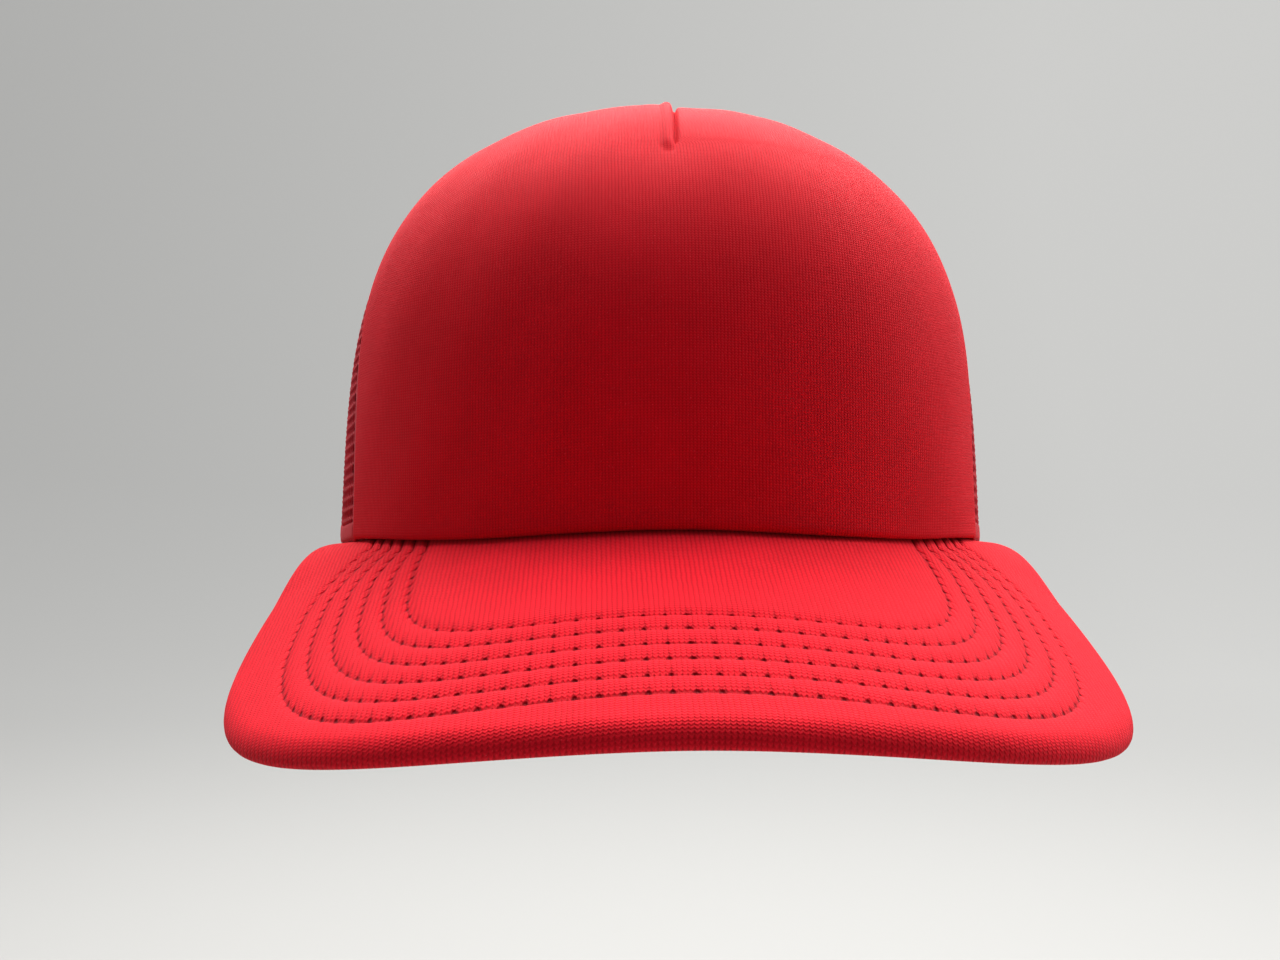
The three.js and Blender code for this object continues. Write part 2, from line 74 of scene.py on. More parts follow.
VISOR_LIFT = 38
VISOR_TILT = math.radians(17.3)
VISOR_BEND_RADIUS = 169
VISOR_HALF_WIDTH = 90
VISOR_WIDEST = -96
VISOR_TIP = -174.4
VISOR_POWER = 2.25
TEMPLE = (81.5, -35)
TEMPLE_TURN = math.radians(73)
LEVEL_FROM = -75
LEVEL_TO = -34
FRONT_SHARE = 0.72
VISOR_TUCK = 3.6
VISOR_THICKNESS = 5.6
RIM_INSET = 2.6
ROW_COUNT = 6
ROW_HALF = (54, 4.65)
ROW_FRONT = (-135.8, -5.65)
ROW_POWER = (3.4, -0.1)
ROW_TURN = (36, 2.8)
ROW_STRAIGHT_FROM = 0.82
LOWEST_LEVEL = -5.5
HIGHEST_LEVEL = 9.0
ROW_SPACING = 5.2
NEEDLE_PITCH = 4.0

BAND_HEIGHT = 32
BAND_TURN = math.radians(147)
BAND_DROP = 4.5
BAND_STITCH_HEIGHT = 5.4

ARCH_HALF_WIDTH = 45
ARCH_HEIGHT = 57
ARCH_POWER = 2.2
BINDING_WIDTH = 7
BINDING_ROW = 5.4
STRAP_BOTTOM = 3
STRAP_TOP = 21
STRAP_MIDDLE = (STRAP_BOTTOM + STRAP_TOP) / 2
HINGE_X = 39.5
TAB_END = 57
STRAP_INNER_DEPTH = 3.4
STRAP_OUTER_DEPTH = 2.1
STEP_END = 33.5
PEG_PITCH = 8
PEG_COUNT = 7
FIRST_PEG = -13.5
FIRST_HOLE = -29.5
PEG_TIP = -18.5
HOLE_TIP = 23.5
HOLE_RADIUS = 2.6

BUTTON_SEAT = CROWN_HEIGHT + 0.45
BUTTON_RADIUS = 7.5
BUTTON_HEIGHT = 4.8

TAU = 2 * math.pi


# ---- Surfaces ----------------------------------------------------------------

def signed_power(value, power):
    return np.sign(value) * np.abs(value) ** (2 / power)


def smoothstep(value, low, high):
    t = np.clip((value - low) / (high - low), 0, 1)
    return t * t * (3 - 2 * t)


def bell(value, width):
    return np.exp(-((value / width) ** 2))


def unit(vectors):
    return vectors / np.linalg.norm(vectors, axis=-1, keepdims=True)


def path_length(*axes):
    """Distances along a path, given as one array for each axis, from its first point."""
    steps = np.sqrt(sum(np.diff(axis) ** 2 for axis in axes))
    return np.concatenate([[0], np.cumsum(steps)])


def even_stops(count, length, dense):
    return np.interp(np.linspace(0, length[-1], count), length, dense)


def visor_height(x, y):
    sag = VISOR_BEND_RADIUS - np.sqrt(VISOR_BEND_RADIUS ** 2 - x * x)
    rolled = VISOR_LIFT + y * math.tan(VISOR_TILT) - sag / math.cos(VISOR_TILT)
    return rolled * (1 - smoothstep(y, LEVEL_FROM, LEVEL_TO)) - GAP


def oval_point(turn, depth=0.0):
    reach = np.where(np.cos(turn) > 0, FRONT_REACH, BACK_REACH) - depth
    x = (HALF_WIDTH - depth) * signed_power(np.sin(turn), OVAL_POWER)
    y = -reach * signed_power(np.cos(turn), OVAL_POWER)
    return x, y


def shape_power(powers, turn):
    cosine = np.cos(turn)
    side, front, back = powers
    end = np.where(cosine > 0, front, back)
    return side + (end - side) * cosine ** 2


def crown_point(turn, lift, depth):
    """A point of the crown; lift runs from 0 at its lower edge to 1 at the apex."""
    turn, lift, depth = np.broadcast_arrays(turn, lift, depth)
    foot_x, foot_y = oval_point(turn, depth)
    base = visor_height(foot_x, foot_y) + GAP
    wall, roof = shape_power(WALL_POWER, turn), shape_power(ROOF_POWER, turn)
    reach = np.clip(1 - lift ** wall, 0, 1) ** (1 / roof)
    shrink = reach * (1 - WALL_TAPER * lift)
    crest = CREST_RISE * np.maximum(np.cos(turn), 0) ** 2 * (4 * reach * (1 - reach)) ** 2
    z = base + (CROWN_HEIGHT - depth - base) * lift + crest
    return np.stack([foot_x * shrink, foot_y * shrink, z], -1)


def lift_at(turn, share):
    arc = PANEL_END * share ** ROW_SPREAD * math.pi / 2
    return np.sin(arc) ** (2 / shape_power(WALL_POWER, turn))


def seam_turn(seam, share):
    return np.radians(seam[0] + (seam[1] - seam[0]) * share ** SEAM_BEND)


def back_point(x, z, depth):
    """A point of the back of the crown from its place seen from behind."""
    x, z, depth = (np.array(a, float) for a in np.broadcast_arrays(x, z, depth))
    lift = np.maximum(z / (CROWN_HEIGHT - depth), 0)
    turn = np.full_like(x, math.pi)
    for _ in range(24):
        roof = shape_power(ROOF_POWER, turn)
        shrink = (1 - lift ** shape_power(WALL_POWER, turn)) ** (1 / roof) * (1 - WALL_TAPER * lift)
        across = np.abs(x) / ((HALF_WIDTH - depth) * shrink)
        turn = math.pi - np.arcsin(np.minimum(across ** (OVAL_POWER / 2), 1))
    point = crown_point(turn, lift, depth)
    return np.stack([x, point[..., 1], z], -1)


def visor_outline(s, inset):
    """The visor's outline, drawn in by an inset; s runs from -1 to 1, temple to temple."""
    along = np.abs(s)
    half = VISOR_HALF_WIDTH - inset
    angle = np.minimum(along / FRONT_SHARE, 1) * math.pi / 2
    front_x = half * signed_power(np.sin(angle), VISOR_POWER)
    front_y = VISOR_WIDEST - (VISOR_WIDEST - VISOR_TIP - inset) * signed_power(np.cos(angle), VISOR_POWER)
    t = np.clip((along - FRONT_SHARE) / (1 - FRONT_SHARE), 0, 1)
    weights = [(1 - t) ** 3, 3 * t * (1 - t) ** 2, 3 * t * t * (1 - t), t ** 3]
    xs = [half, half, half - 5.5, TEMPLE[0] - inset]
    ys = [VISOR_WIDEST, VISOR_WIDEST + 24, VISOR_WIDEST + 44, TEMPLE[1]]
    flank_x = sum(w * x for w, x in zip(weights, xs))
    flank_y = sum(w * y for w, y in zip(weights, ys))
    front = along < FRONT_SHARE
    x = np.where(front, front_x, flank_x)
    y = np.where(front, front_y, flank_y)
    return np.where(s < 0, -x, x), y


def visor_plan(s, share, inset):
    root_x, root_y = oval_point(TEMPLE_TURN * s, VISOR_TUCK)
    rim_x, rim_y = visor_outline(s, inset)
    return root_x + (rim_x - root_x) * share, root_y + (rim_y - root_y) * share


def row_value(pair, row):
    return pair[0] + pair[1] * row


def row_end(row):
    return oval_point(np.radians(row_value(ROW_TURN, row)), -1.0)


def row_reach(row, y):
    """Half the width of a stitch row at y; row may be fractional."""
    half, power = row_value(ROW_HALF, row), row_value(ROW_POWER, row)
    length = VISOR_WIDEST - row_value(ROW_FRONT, row)
    front = half * np.clip(1 - np.clip((VISOR_WIDEST - y) / length, 0, 1) ** power, 0, 1) ** (1 / power)
    end_x, end_y = row_end(row)
    t = np.clip((y - VISOR_WIDEST) / (end_y - VISOR_WIDEST), 0, 1)
    return np.where(y < VISOR_WIDEST, front, half - t * t * (half - end_x))


def row_level(x, y):
    """Which stitch row a point of the visor is on: 0 for the innermost, fractional between."""
    low = np.full_like(x, LOWEST_LEVEL)
    high = np.full_like(x, HIGHEST_LEVEL)
    for _ in range(26):
        middle = (low + high) / 2
        inside = row_reach(middle, y) <= np.abs(x)
        low = np.where(inside, middle, low)
        high = np.where(inside, high, middle)
    return (low + high) / 2


def row_place(row, s):
    """A point of a stitch row; s runs from 0 at the front centre to 1 at the crown."""
    half, power = row_value(ROW_HALF, row), row_value(ROW_POWER, row)
    angle = np.minimum(s / ROW_STRAIGHT_FROM, 1) * math.pi / 2
    length = VISOR_WIDEST - row_value(ROW_FRONT, row)
    front_x = half * signed_power(np.sin(angle), power)
    front_y = VISOR_WIDEST - length * signed_power(np.cos(angle), power)
    t = np.clip((s - ROW_STRAIGHT_FROM) / (1 - ROW_STRAIGHT_FROM), 0, 1)
    end_x, end_y = row_end(row)
    flank_y = VISOR_WIDEST + t * (end_y - VISOR_WIDEST)
    flank_x = half - t * t * (half - end_x)
    front = s < ROW_STRAIGHT_FROM
    return np.where(front, front_x, flank_x), np.where(front, front_y, flank_y)


def row_arc(level, x, y):
    """How far along its stitch row a point of the visor lies, from the front centre."""
    levels = np.linspace(LOWEST_LEVEL, HIGHEST_LEVEL, 59)
    stops = np.linspace(0, 1, 241)
    table_x, table_y = row_place(levels[:, None], stops[None, :])
    steps = np.hypot(np.diff(table_x, axis=1), np.diff(table_y, axis=1))
    arcs = np.concatenate([np.zeros((len(levels), 1)), np.cumsum(steps, 1)], 1)
    length = VISOR_WIDEST - row_value(ROW_FRONT, level)
    q = np.clip((VISOR_WIDEST - y) / length, 0, 1) ** (row_value(ROW_POWER, level) / 2)
    t = np.clip((y - VISOR_WIDEST) / (row_end(level)[1] - VISOR_WIDEST), 0, 1)
    front_s = np.arccos(q) / (math.pi / 2) * ROW_STRAIGHT_FROM
    s = np.where(y < VISOR_WIDEST, front_s, ROW_STRAIGHT_FROM + (1 - ROW_STRAIGHT_FROM) * t)
    row = np.clip((level - levels[0]) / (levels[1] - levels[0]), 0, len(levels) - 1.001)
    column = np.clip(s * (len(stops) - 1), 0, len(stops) - 1.001)
    i, j = row.astype(int), column.astype(int)
    fi, fj = row - i, column - j
    near = arcs[i, j] * (1 - fj) + arcs[i, j + 1] * fj
    far = arcs[i + 1, j] * (1 - fj) + arcs[i + 1, j + 1] * fj
    return np.sign(x) * (near * (1 - fi) + far * fi)


# ---- Meshes ------------------------------------------------------------------

def index_grid(columns, rows):
    return np.arange(columns * rows).reshape(columns, rows)


def grid_quads(index, ring=False):
    if ring:
        index = np.concatenate([index, index[:1]])
    corners = [index[:-1, :-1], index[1:, :-1], index[1:, 1:], index[:-1, 1:]]
    return np.stack(corners, -1).reshape(-1, 4)


def signed_volume(points, quads):
    a, b, c, d = (points[quads[:, k]] for k in range(4))
    first = np.einsum("ij,ij->i", a, np.cross(b, c)).sum()
    return first + np.einsum("ij,ij->i", a, np.cross(c, d)).sum()


def facing_out(points, quads):
    """The faces of a closed mesh, turned over if they face inwards."""
    return quads[:, ::-1] if signed_volume(points - points.mean(0), quads) < 0 else quads


def merged(pieces):
    """Joins several (points, quads, uv) into one."""
    points, quads, uvs = zip(*pieces)
    starts = np.cumsum([0] + [len(part) for part in points[:-1]])
    quads = [part + start for part, start in zip(quads, starts)]
    return np.concatenate(points), np.concatenate(quads), np.concatenate(uvs)


def add_object(name, data):
    item = bpy.data.objects.new(name, data)
    bpy.context.scene.collection.objects.link(item)
    return item


def make_piece(name, points, quads, material, uvs, stands_for=(), oriented=False):
    """Makes a closed mesh from points in millimetres and puts it on the cap's body."""
    if not oriented:
        quads = facing_out(points, quads)
    mesh = bpy.data.meshes.new(name)
    mesh.vertices.add(len(points))
    mesh.vertices.foreach_set("co", (np.asarray(points) * MM).astype(np.float32).ravel())
    mesh.loops.add(quads.size)
    mesh.loops.foreach_set("vertex_index", quads.astype(np.int32).ravel())
    mesh.polygons.add(len(quads))
    mesh.polygons.foreach_set("loop_start", np.arange(0, quads.size, 4, dtype=np.int32))
    for layer, values in uvs.items():
        uv = mesh.uv_layers.new(name=layer)
        uv.data.foreach_set("uv", values[quads.ravel()].astype(np.float32).ravel())
    mesh.update(calc_edges=True)
    mesh.validate()
    mesh.shade_smooth()
    mesh.materials.append(material)
    piece = add_object(name, mesh)
    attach(piece, "cap")
    place(piece, material, stands_for)
    return piece


def place(piece, material, stands_for):
    if stands_for:
        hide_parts(*stands_for)


def closed_sheet(outer, inner):
    """Points and faces of a sheet between two grids."""
    top = index_grid(*outer.shape[:2])
    under = top + top.size
    quads = [grid_quads(top), grid_quads(under[:, ::-1])]
    for first, second in ((under.T, top.T), (top, under)):
        quads.append(grid_quads(np.stack([first[0], second[0]], 1)))
        quads.append(grid_quads(np.stack([second[-1], first[-1]], 1)))
    return np.concatenate([outer.reshape(-1, 3), inner.reshape(-1, 3)]), np.concatenate(quads)


def grid_normals(grid):
    normal = np.cross(np.gradient(grid, axis=0), np.gradient(grid, axis=1))
    return normal / np.maximum(np.linalg.norm(normal, axis=-1, keepdims=True), 1e-9)


def cloth_uv(grid):
    """Lengths in millimetres across and along a grid, measured on the cloth itself."""
    across = np.linalg.norm(np.diff(grid, axis=0), axis=-1)
    across = np.concatenate([np.zeros((1, grid.shape[1])), np.cumsum(across, 0)])
    across -= across[grid.shape[0] // 2]
    along = np.linalg.norm(np.diff(grid, axis=1), axis=-1)
    along = np.concatenate([np.zeros((grid.shape[0], 1)), np.cumsum(along, 1)], 1)
    return np.stack([across, along], -1)


def sheet_piece(name, outer, inner, material, uvs, **kept):
    """A closed sheet between two grids, whose two faces take the same lengths."""
    points, quads = closed_sheet(outer, inner)
    both = {layer: np.concatenate([uv.reshape(-1, 2)] * 2) for layer, uv in uvs.items()}
    return make_piece(name, points, quads, material, both, **kept)


def cloth_piece(name, grid, thickness, material, uvs=None, **kept):
    """A sheet of cloth: the grid is its outer face and it has the given thickness behind it."""
    inner = grid - grid_normals(grid) * thickness
    return sheet_piece(name, grid, inner, material, uvs or {"mm": cloth_uv(grid)}, **kept)


def closed_loops(sections):
    """The point numbers of closed sections, each with its first point again at its end."""
    index = index_grid(*sections.shape[:2])
    return np.concatenate([index, index[:, :1]], 1)


def swept_piece(name, sections, material, **kept):
    """A solid swept through closed sections: an array of steps by section points by 3."""
    loops = closed_loops(sections)
    count = sections.shape[1]
    quads = [grid_quads(loops)]
    points = sections.reshape(-1, 3)
    for end, order in ((0, 1), (-1, -1)):
        centre = len(points)
        points = np.concatenate([points, sections[end].mean(0)[None]])
        loop = loops[end][::order]
        fan = np.stack([np.full(count, centre), loop[1:], loop[:-1], loop[:-1]], 1)
        quads.append(fan)
    uv = cloth_uv(sections).reshape(-1, 2)
    uv = np.concatenate([uv, np.zeros((2, 2))])
    return make_piece(name, points, np.concatenate(quads), material, {"mm": uv}, **kept)


# ---- Materials ---------------------------------------------------------------


class Finish:
    """A material under construction: one Principled shader and the nodes that feed it."""

    def __init__(self, name, slot, **sockets):
        self.material = bpy.data.materials.new(name)
        self.material.use_nodes = True
        self.tree = self.material.node_tree
        self.shader = self.tree.nodes["Principled BSDF"]
        for socket, value in sockets.items():
            self.shader.inputs[socket.replace("_", " ")].default_value = value

    def put(self, socket, value):
        if isinstance(value, bpy.types.NodeSocket):
            self.tree.links.new(value, socket)
        else:
            socket.default_value = value

    def node(self, kind, **inputs):
        node = self.tree.nodes.new(kind)
        for name, value in inputs.items():
            self.put(node.inputs[name.replace("_", " ")], value)
        return node

    def math(self, operation, *values, clamp=False):
        node = self.tree.nodes.new("ShaderNodeMath")
        node.operation = operation
        node.use_clamp = clamp
        for socket, value in zip(node.inputs, values):
            self.put(socket, value)
        return node.outputs[0]

    def uv(self, layer="mm"):
        node = self.tree.nodes.new("ShaderNodeUVMap")
        node.uv_map = layer
        split = self.node("ShaderNodeSeparateXYZ", Vector=node.outputs[0])
        return split.outputs[0], split.outputs[1]

    def place(self):
        return self.tree.nodes.new("ShaderNodeTexCoord").outputs["Object"]

    def flat(self, u, v):
        return self.node("ShaderNodeCombineXYZ", X=u, Y=v).outputs[0]

    def noise(self, vector, size, detail=2.0, roughness=0.5):
        """Noise whose features are about one size across, in the vector's own units."""
        node = self.node("ShaderNodeTexNoise", Vector=vector, Scale=1 / size,
                         Detail=detail, Roughness=roughness)
        return node.outputs["Fac"]

    def stretch(self, value, low, high, to_low=0.0, to_high=1.0):
        node = self.tree.nodes.new("ShaderNodeMapRange")
        for name, number in zip(("From Min", "From Max", "To Min", "To Max"), (low, high, to_low, to_high)):
            node.inputs[name].default_value = number
        self.put(node.inputs["Value"], value)
        return node.outputs[0]

    def mix(self, factor, low, high):
        node = self.tree.nodes.new("ShaderNodeMix")
        node.data_type = "RGBA"
        self.put(node.inputs[0], factor)
        self.put(node.inputs[6], low)
        self.put(node.inputs[7], high)
        return node.outputs[2]

    def bump(self, height, distance, strength=1.0, base=None):
        """Bump of a given height in millimetres."""
        node = self.node("ShaderNodeBump", Height=height, Distance=distance * MM, Strength=strength)
        if base is not None:
            self.put(node.inputs["Normal"], base)
        return node.outputs[0]

    def finish(self, colour, roughness, normal):
        self.put(self.shader.inputs["Base Color"], colour)
        self.put(self.shader.inputs["Roughness"], roughness)
        self.put(self.shader.inputs["Normal"], normal)
        return self.material


def tone(red, green, blue):
    return (red, green, blue, 1.0)


def wave(finish, value, period):
    """A wave from 0 to 1 of a given period."""
    turned = finish.math("MULTIPLY", value, TAU / period)
    return finish.math("MULTIPLY_ADD", finish.math("SINE", turned), 0.5, 0.5)


def triangle(finish, value, period):
    """1 where value is a whole number of periods and 0 halfway between."""
    share = finish.math("FRACT", finish.math("DIVIDE", value, period))
    return finish.math("ABSOLUTE", finish.math("MULTIPLY_ADD", share, 2.0, -1.0))


def knit(name, slot, wale, course, body, deep, glint_colour, holes=False, relief=0.16, sheen=0.24):
    """Warp-knit polyester: ribs of looped yarn with a sheen, painted glints, painted shade in the yarn's low
    places and a soft mottle.
    """
    finish = Finish(name, slot, Sheen_Weight=sheen, Sheen_Roughness=0.36,
                    Sheen_Tint=tone(1.0, 0.12, 0.16), Specular_IOR_Level=0.12)
    u, v = finish.uv()
    place_mm = finish.flat(u, v)
    drift = finish.noise(place_mm, 3.0, 2.0)
    u_yarn = finish.math("MULTIPLY_ADD", drift, wale * 0.5, u)
    ridge = triangle(finish, u_yarn, wale)
    rib = finish.math("SUBTRACT", 1.0, finish.math("POWER", ridge, 2.2))
    slant = finish.math("MULTIPLY_ADD", ridge, course * 0.5, v)
    loops = wave(finish, slant, course)
    fuzz = finish.noise(place_mm, 0.22, 3.0, 0.65)
    yarn = finish.math("MULTIPLY_ADD", loops, 0.34, finish.math("MULTIPLY", rib, 0.5))
    height = finish.math("MULTIPLY_ADD", fuzz, 0.42, yarn)
    mottle = finish.noise(finish.place(), 0.014, 4.0, 0.62)
    # Painted shade: the yarn's low places take the deep colour, mixed with a random mottle.
    shade = finish.stretch(finish.math("MULTIPLY_ADD", mottle, 0.5, height), 0.35, 1.25)
    colour = finish.mix(shade, tone(*deep), tone(*body))
    # Painted glints: small pink specks where the yarn would sparkle in the light.
    painted_glint = finish.stretch(finish.noise(place_mm, 0.34, 1.0), 0.66, 0.8, 0.0, 0.5)
    colour = finish.mix(painted_glint, colour, tone(*glint_colour))
    # Needle holes sink the visor's cloth and carry painted shade.
    if holes:
        colour, height = needle_holes(finish, colour, height)
    roughness = finish.stretch(fuzz, 0.3, 0.7, 0.72, 0.9)
    soft = finish.bump(finish.noise(finish.place(), 0.006, 3.0), 0.35, 0.5)
    return finish.finish(colour, roughness, finish.bump(height, relief, 1.0, soft))


def needle_holes(finish, colour, height):
    """Sinks the cloth where the needle passed and in the folds beside each hole, and paints shade into the
    holes, the folds and the groove along each row.
    """
    level, arc = finish.uv("rows")
    inside = finish.math("MINIMUM", finish.math("MAXIMUM", level, 0.0), ROW_COUNT - 1.0)
    from_row = finish.math("SUBTRACT", level, finish.math("ROUND", inside))
    across = finish.math("MULTIPLY", finish.math("ABSOLUTE", from_row), ROW_SPACING)
    half = NEEDLE_PITCH / 2
    along = finish.math("MULTIPLY_ADD", triangle(finish, arc, NEEDLE_PITCH), -half, half)
    distance = finish.math("SQRT", finish.math("ADD", finish.math("POWER", across, 2.0),
                                                finish.math("POWER", along, 2.0)))
    hole = finish.stretch(distance, 0.2, 0.55, 1.0, 0.0)
    crease = finish.math("MULTIPLY", finish.stretch(along, 0.0, 0.9, 1.0, 0.0),
                         finish.stretch(across, 0.3, 2.2, 1.0, 0.0))
    groove = finish.stretch(across, 0.05, 0.4, 0.5, 0.0)
    # Painted shade, nearly black, in the needle holes, the folds beside them and the groove along the row.
    painted_shade = finish.math("MAXIMUM", hole, finish.math("MULTIPLY_ADD", crease, 0.3, groove), clamp=True)
    colour = finish.mix(finish.math("MULTIPLY", painted_shade, 0.8), colour, tone(0.06, 0.0, 0.003))
    sunk = finish.math("MULTIPLY_ADD", crease, 1.1, finish.math("MULTIPLY", hole, 2.5))
    return colour, finish.math("SUBTRACT", height, sunk)


def foam_finish(name, slot, colour, deep):
    """Open-cell foam: small pores between pale struts, with painted shade in the pores."""
    finish = Finish(name, slot, Sheen_Weight=0.15, Specular_IOR_Level=0.25)
    place = finish.place()
    cells = finish.node("ShaderNodeTexVoronoi", Vector=place, Scale=1 / 0.0007)
    pores = finish.stretch(cells.outputs["Distance"], 0.12, 0.6)
    patch = finish.noise(place, 0.012, 4.0, 0.6)
    # Painted shade in the pores, mixed with random patches of tone.
    shade = finish.math("MULTIPLY_ADD", patch, 0.45, finish.math("MULTIPLY", pores, 0.6), clamp=True)
    colour = finish.mix(shade, tone(*deep), tone(*colour))
    return finish.finish(colour, finish.stretch(patch, 0.3, 0.7, 0.86, 0.97), finish.bump(pores, 0.2, 0.7))


def woven(name, slot, colour, deep, pitch, relief=0.08):
    """Woven tape: fine threads crossing over and under each other, with painted shade where the threads lie
    low.
    """
    finish = Finish(name, slot, Sheen_Weight=0.35, Sheen_Roughness=0.4,
                    Sheen_Tint=tone(1.0, 0.25, 0.3), Specular_IOR_Level=0.25)
    u, v = finish.uv()
    across, along = wave(finish, u, pitch), wave(finish, v, pitch)
    turn = finish.math("SUBTRACT", across, along)
    thread = finish.math("ABSOLUTE", turn)
    fuzz = finish.noise(finish.flat(u, v), 0.18, 3.0, 0.6)
    patch = finish.noise(finish.place(), 0.009, 3.0, 0.55)
    height = finish.math("MULTIPLY_ADD", fuzz, 0.4, thread)
    # Painted shade in the weave's low places, mixed with random patches of tone.
    shade = finish.stretch(finish.math("MULTIPLY_ADD", patch, 0.5, height), 0.3, 1.3)
    colour = finish.mix(shade, tone(*deep), tone(*colour))
    return finish.finish(colour, finish.stretch(fuzz, 0.3, 0.7, 0.68, 0.86), finish.bump(height, relief))


def thread_finish(name, slot, colour, deep):
    """Sewing thread: plies twisted round each other, with painted shade in the grooves of the twist."""
    finish = Finish(name, slot, Sheen_Weight=0.25, Sheen_Roughness=0.35, Sheen_Tint=tone(1.0, 0.2, 0.24),
                    Specular_IOR_Level=0.22)
    u, v = finish.uv()
    twist = wave(finish, finish.math("MULTIPLY_ADD", u, 0.8, v), 0.45)
    fuzz = finish.noise(finish.place(), 0.0004, 3.0, 0.6)
    height = finish.math("MULTIPLY_ADD", fuzz, 0.5, twist)
    # Painted shade in the grooves between the plies.
    shade = finish.stretch(height, 0.2, 1.2)
    colour = finish.mix(shade, tone(*deep), tone(*colour))
    return finish.finish(colour, finish.stretch(fuzz, 0.3, 0.7, 0.5, 0.7), finish.bump(height, 0.06))


def net_finish(name, slot, colour, deep):
    """Polyester net: shiny filaments drawn along each strand, with painted shade in the low streaks."""
    finish = Finish(name, slot, Sheen_Weight=0.2, Sheen_Roughness=0.4, Sheen_Tint=tone(1.0, 0.2, 0.24),
                    Specular_IOR_Level=0.2)
    u, v = finish.uv()
    place = finish.flat(u, v)
    strand = finish.noise(finish.flat(finish.math("MULTIPLY", u, 5.0), v), 0.5, 3.0, 0.6)
    patch = finish.noise(place, 14.0, 3.0)
    # Painted shade in the strands' low streaks, mixed with random patches of tone.
    shade = finish.stretch(finish.math("MULTIPLY_ADD", patch, 0.5, strand), 0.4, 1.1)
    colour = finish.mix(shade, tone(*deep), tone(*colour))
    return finish.finish(colour, finish.stretch(strand, 0.3, 0.7, 0.55, 0.75), finish.bump(strand, 0.08))


def plastic(name, slot, colour, deep, gloss=0.36):
    """Moulded plastic: a fine spark-eroded grain, faint flow marks and rubbed edges."""
    finish = Finish(name, slot, Specular_IOR_Level=0.5, Coat_Weight=0.08, Coat_Roughness=0.3)
    place = finish.place()
    grain = finish.noise(place, 0.0003, 2.0)
    flow = finish.noise(place, 0.011, 4.0, 0.6)
    rubbed = finish.noise(place, 0.0022, 3.0, 0.65)
    colour = finish.mix(finish.stretch(flow, 0.3, 0.7), tone(*deep), tone(*colour))
    roughness = finish.stretch(finish.math("MULTIPLY_ADD", rubbed, 0.6, grain), 0.5, 1.1, gloss, gloss + 0.2)
    soft = finish.bump(rubbed, 0.03, 0.5)
    return finish.finish(colour, roughness, finish.bump(grain, 0.03, 0.8, soft))


def steel(name, slot):
    """Stamped plated steel: drawn streaks and a little tarnish."""
    finish = Finish(name, slot, Metallic=1.0)
    place = finish.place()
    tarnish = finish.noise(place, 0.003, 4.0, 0.65)
    streak = finish.noise(place, 0.0004, 2.0)
    colour = finish.mix(finish.stretch(tarnish, 0.35, 0.7), tone(0.42, 0.41, 0.39), tone(0.68, 0.68, 0.67))
    roughness = finish.stretch(finish.math("MULTIPLY_ADD", tarnish, 0.5, streak), 0.4, 1.0, 0.24, 0.44)
    return finish.finish(colour, roughness, finish.bump(streak, 0.02, 0.7))


RED = (0.72, 0.003, 0.015)
DEEP_RED = (0.42, 0.0005, 0.005)
# The colour of the painted glints on the knit.
GLINT_PINK = (0.95, 0.07, 0.10)

FACE_KNIT = knit("face_knit", "knit", 0.72, 0.6, RED, DEEP_RED, GLINT_PINK)
VISOR_KNIT = knit("visor_knit", "knit", 0.95, 0.8, (0.84, 0.005, 0.020), (0.42, 0.0005, 0.005), GLINT_PINK,
                  holes=True, relief=0.24)
BAND_KNIT = knit("band_knit", "band_cloth", 0.5, 0.42, RED, DEEP_RED, GLINT_PINK, relief=0.1, sheen=0.4)
FOAM = foam_finish("pale_foam", "foam", (0.80, 0.75, 0.68), (0.45, 0.40, 0.34))
NET = net_finish("cap_net", "net", (0.58, 0.010, 0.026), (0.30, 0.003, 0.01))
TAPE = woven("seam_tape", "tape", (0.56, 0.010, 0.024), (0.28, 0.002, 0.009), 0.5)
THREAD = thread_finish("red_thread", "thread", (0.52, 0.008, 0.02), (0.24, 0.002, 0.007))
STRAP_PLASTIC = plastic("strap_plastic", "strap_plastic", (0.58, 0.010, 0.024), (0.48, 0.006, 0.018))
BOARD = plastic("visor_board", "board", (0.72, 0.70, 0.66), (0.6, 0.58, 0.54), gloss=0.5)
STEEL = steel("plated_steel", "steel")


# ---- Camera, light and stage -------------------------------------------------

def make_camera():
    data = bpy.data.cameras.new("camera")
    data.lens = 42.19
    data.sensor_width = 36
    data.clip_start = 0.01
    camera = add_object("camera", data)
    camera.location = (-0.01653, -0.40505, 0.03016)
    camera.rotation_euler = (math.radians(90 - 2.287), 0, math.radians(-1.701))
    bpy.context.scene.camera = camera


def area_light(name, location, target, size, power, colour=(1, 1, 1)):
    data = bpy.data.lights.new(name, "AREA")
    data.shape = "DISK"
    data.size = size
    data.energy = power
    data.color = colour
    light = add_object(name, data)
    light.location = location
    light.visible_camera = False
    aim = Vector(target) - light.location
    light.rotation_euler = aim.to_track_quat("-Z", "Y").to_euler()


def make_lights():
    world = bpy.data.worlds.new("studio")
    bpy.context.scene.world = world
    world.use_nodes = True
    sky = world.node_tree.nodes["Background"]
    sky.inputs["Color"].default_value = (0.92, 0.93, 0.96, 1)
    sky.inputs["Strength"].default_value = 0.28
    area_light("overhead", (0.05, 0.62, 1.15), (0, 0, 0.05), 1.8, 76, (1.0, 0.98, 0.96))
    area_light("window", (1.2, 0.2, 0.8), (0, 0, 0.05), 0.9, 8, (1.0, 0.99, 0.98))
    bpy.context.scene.view_settings.view_transform = "Standard"


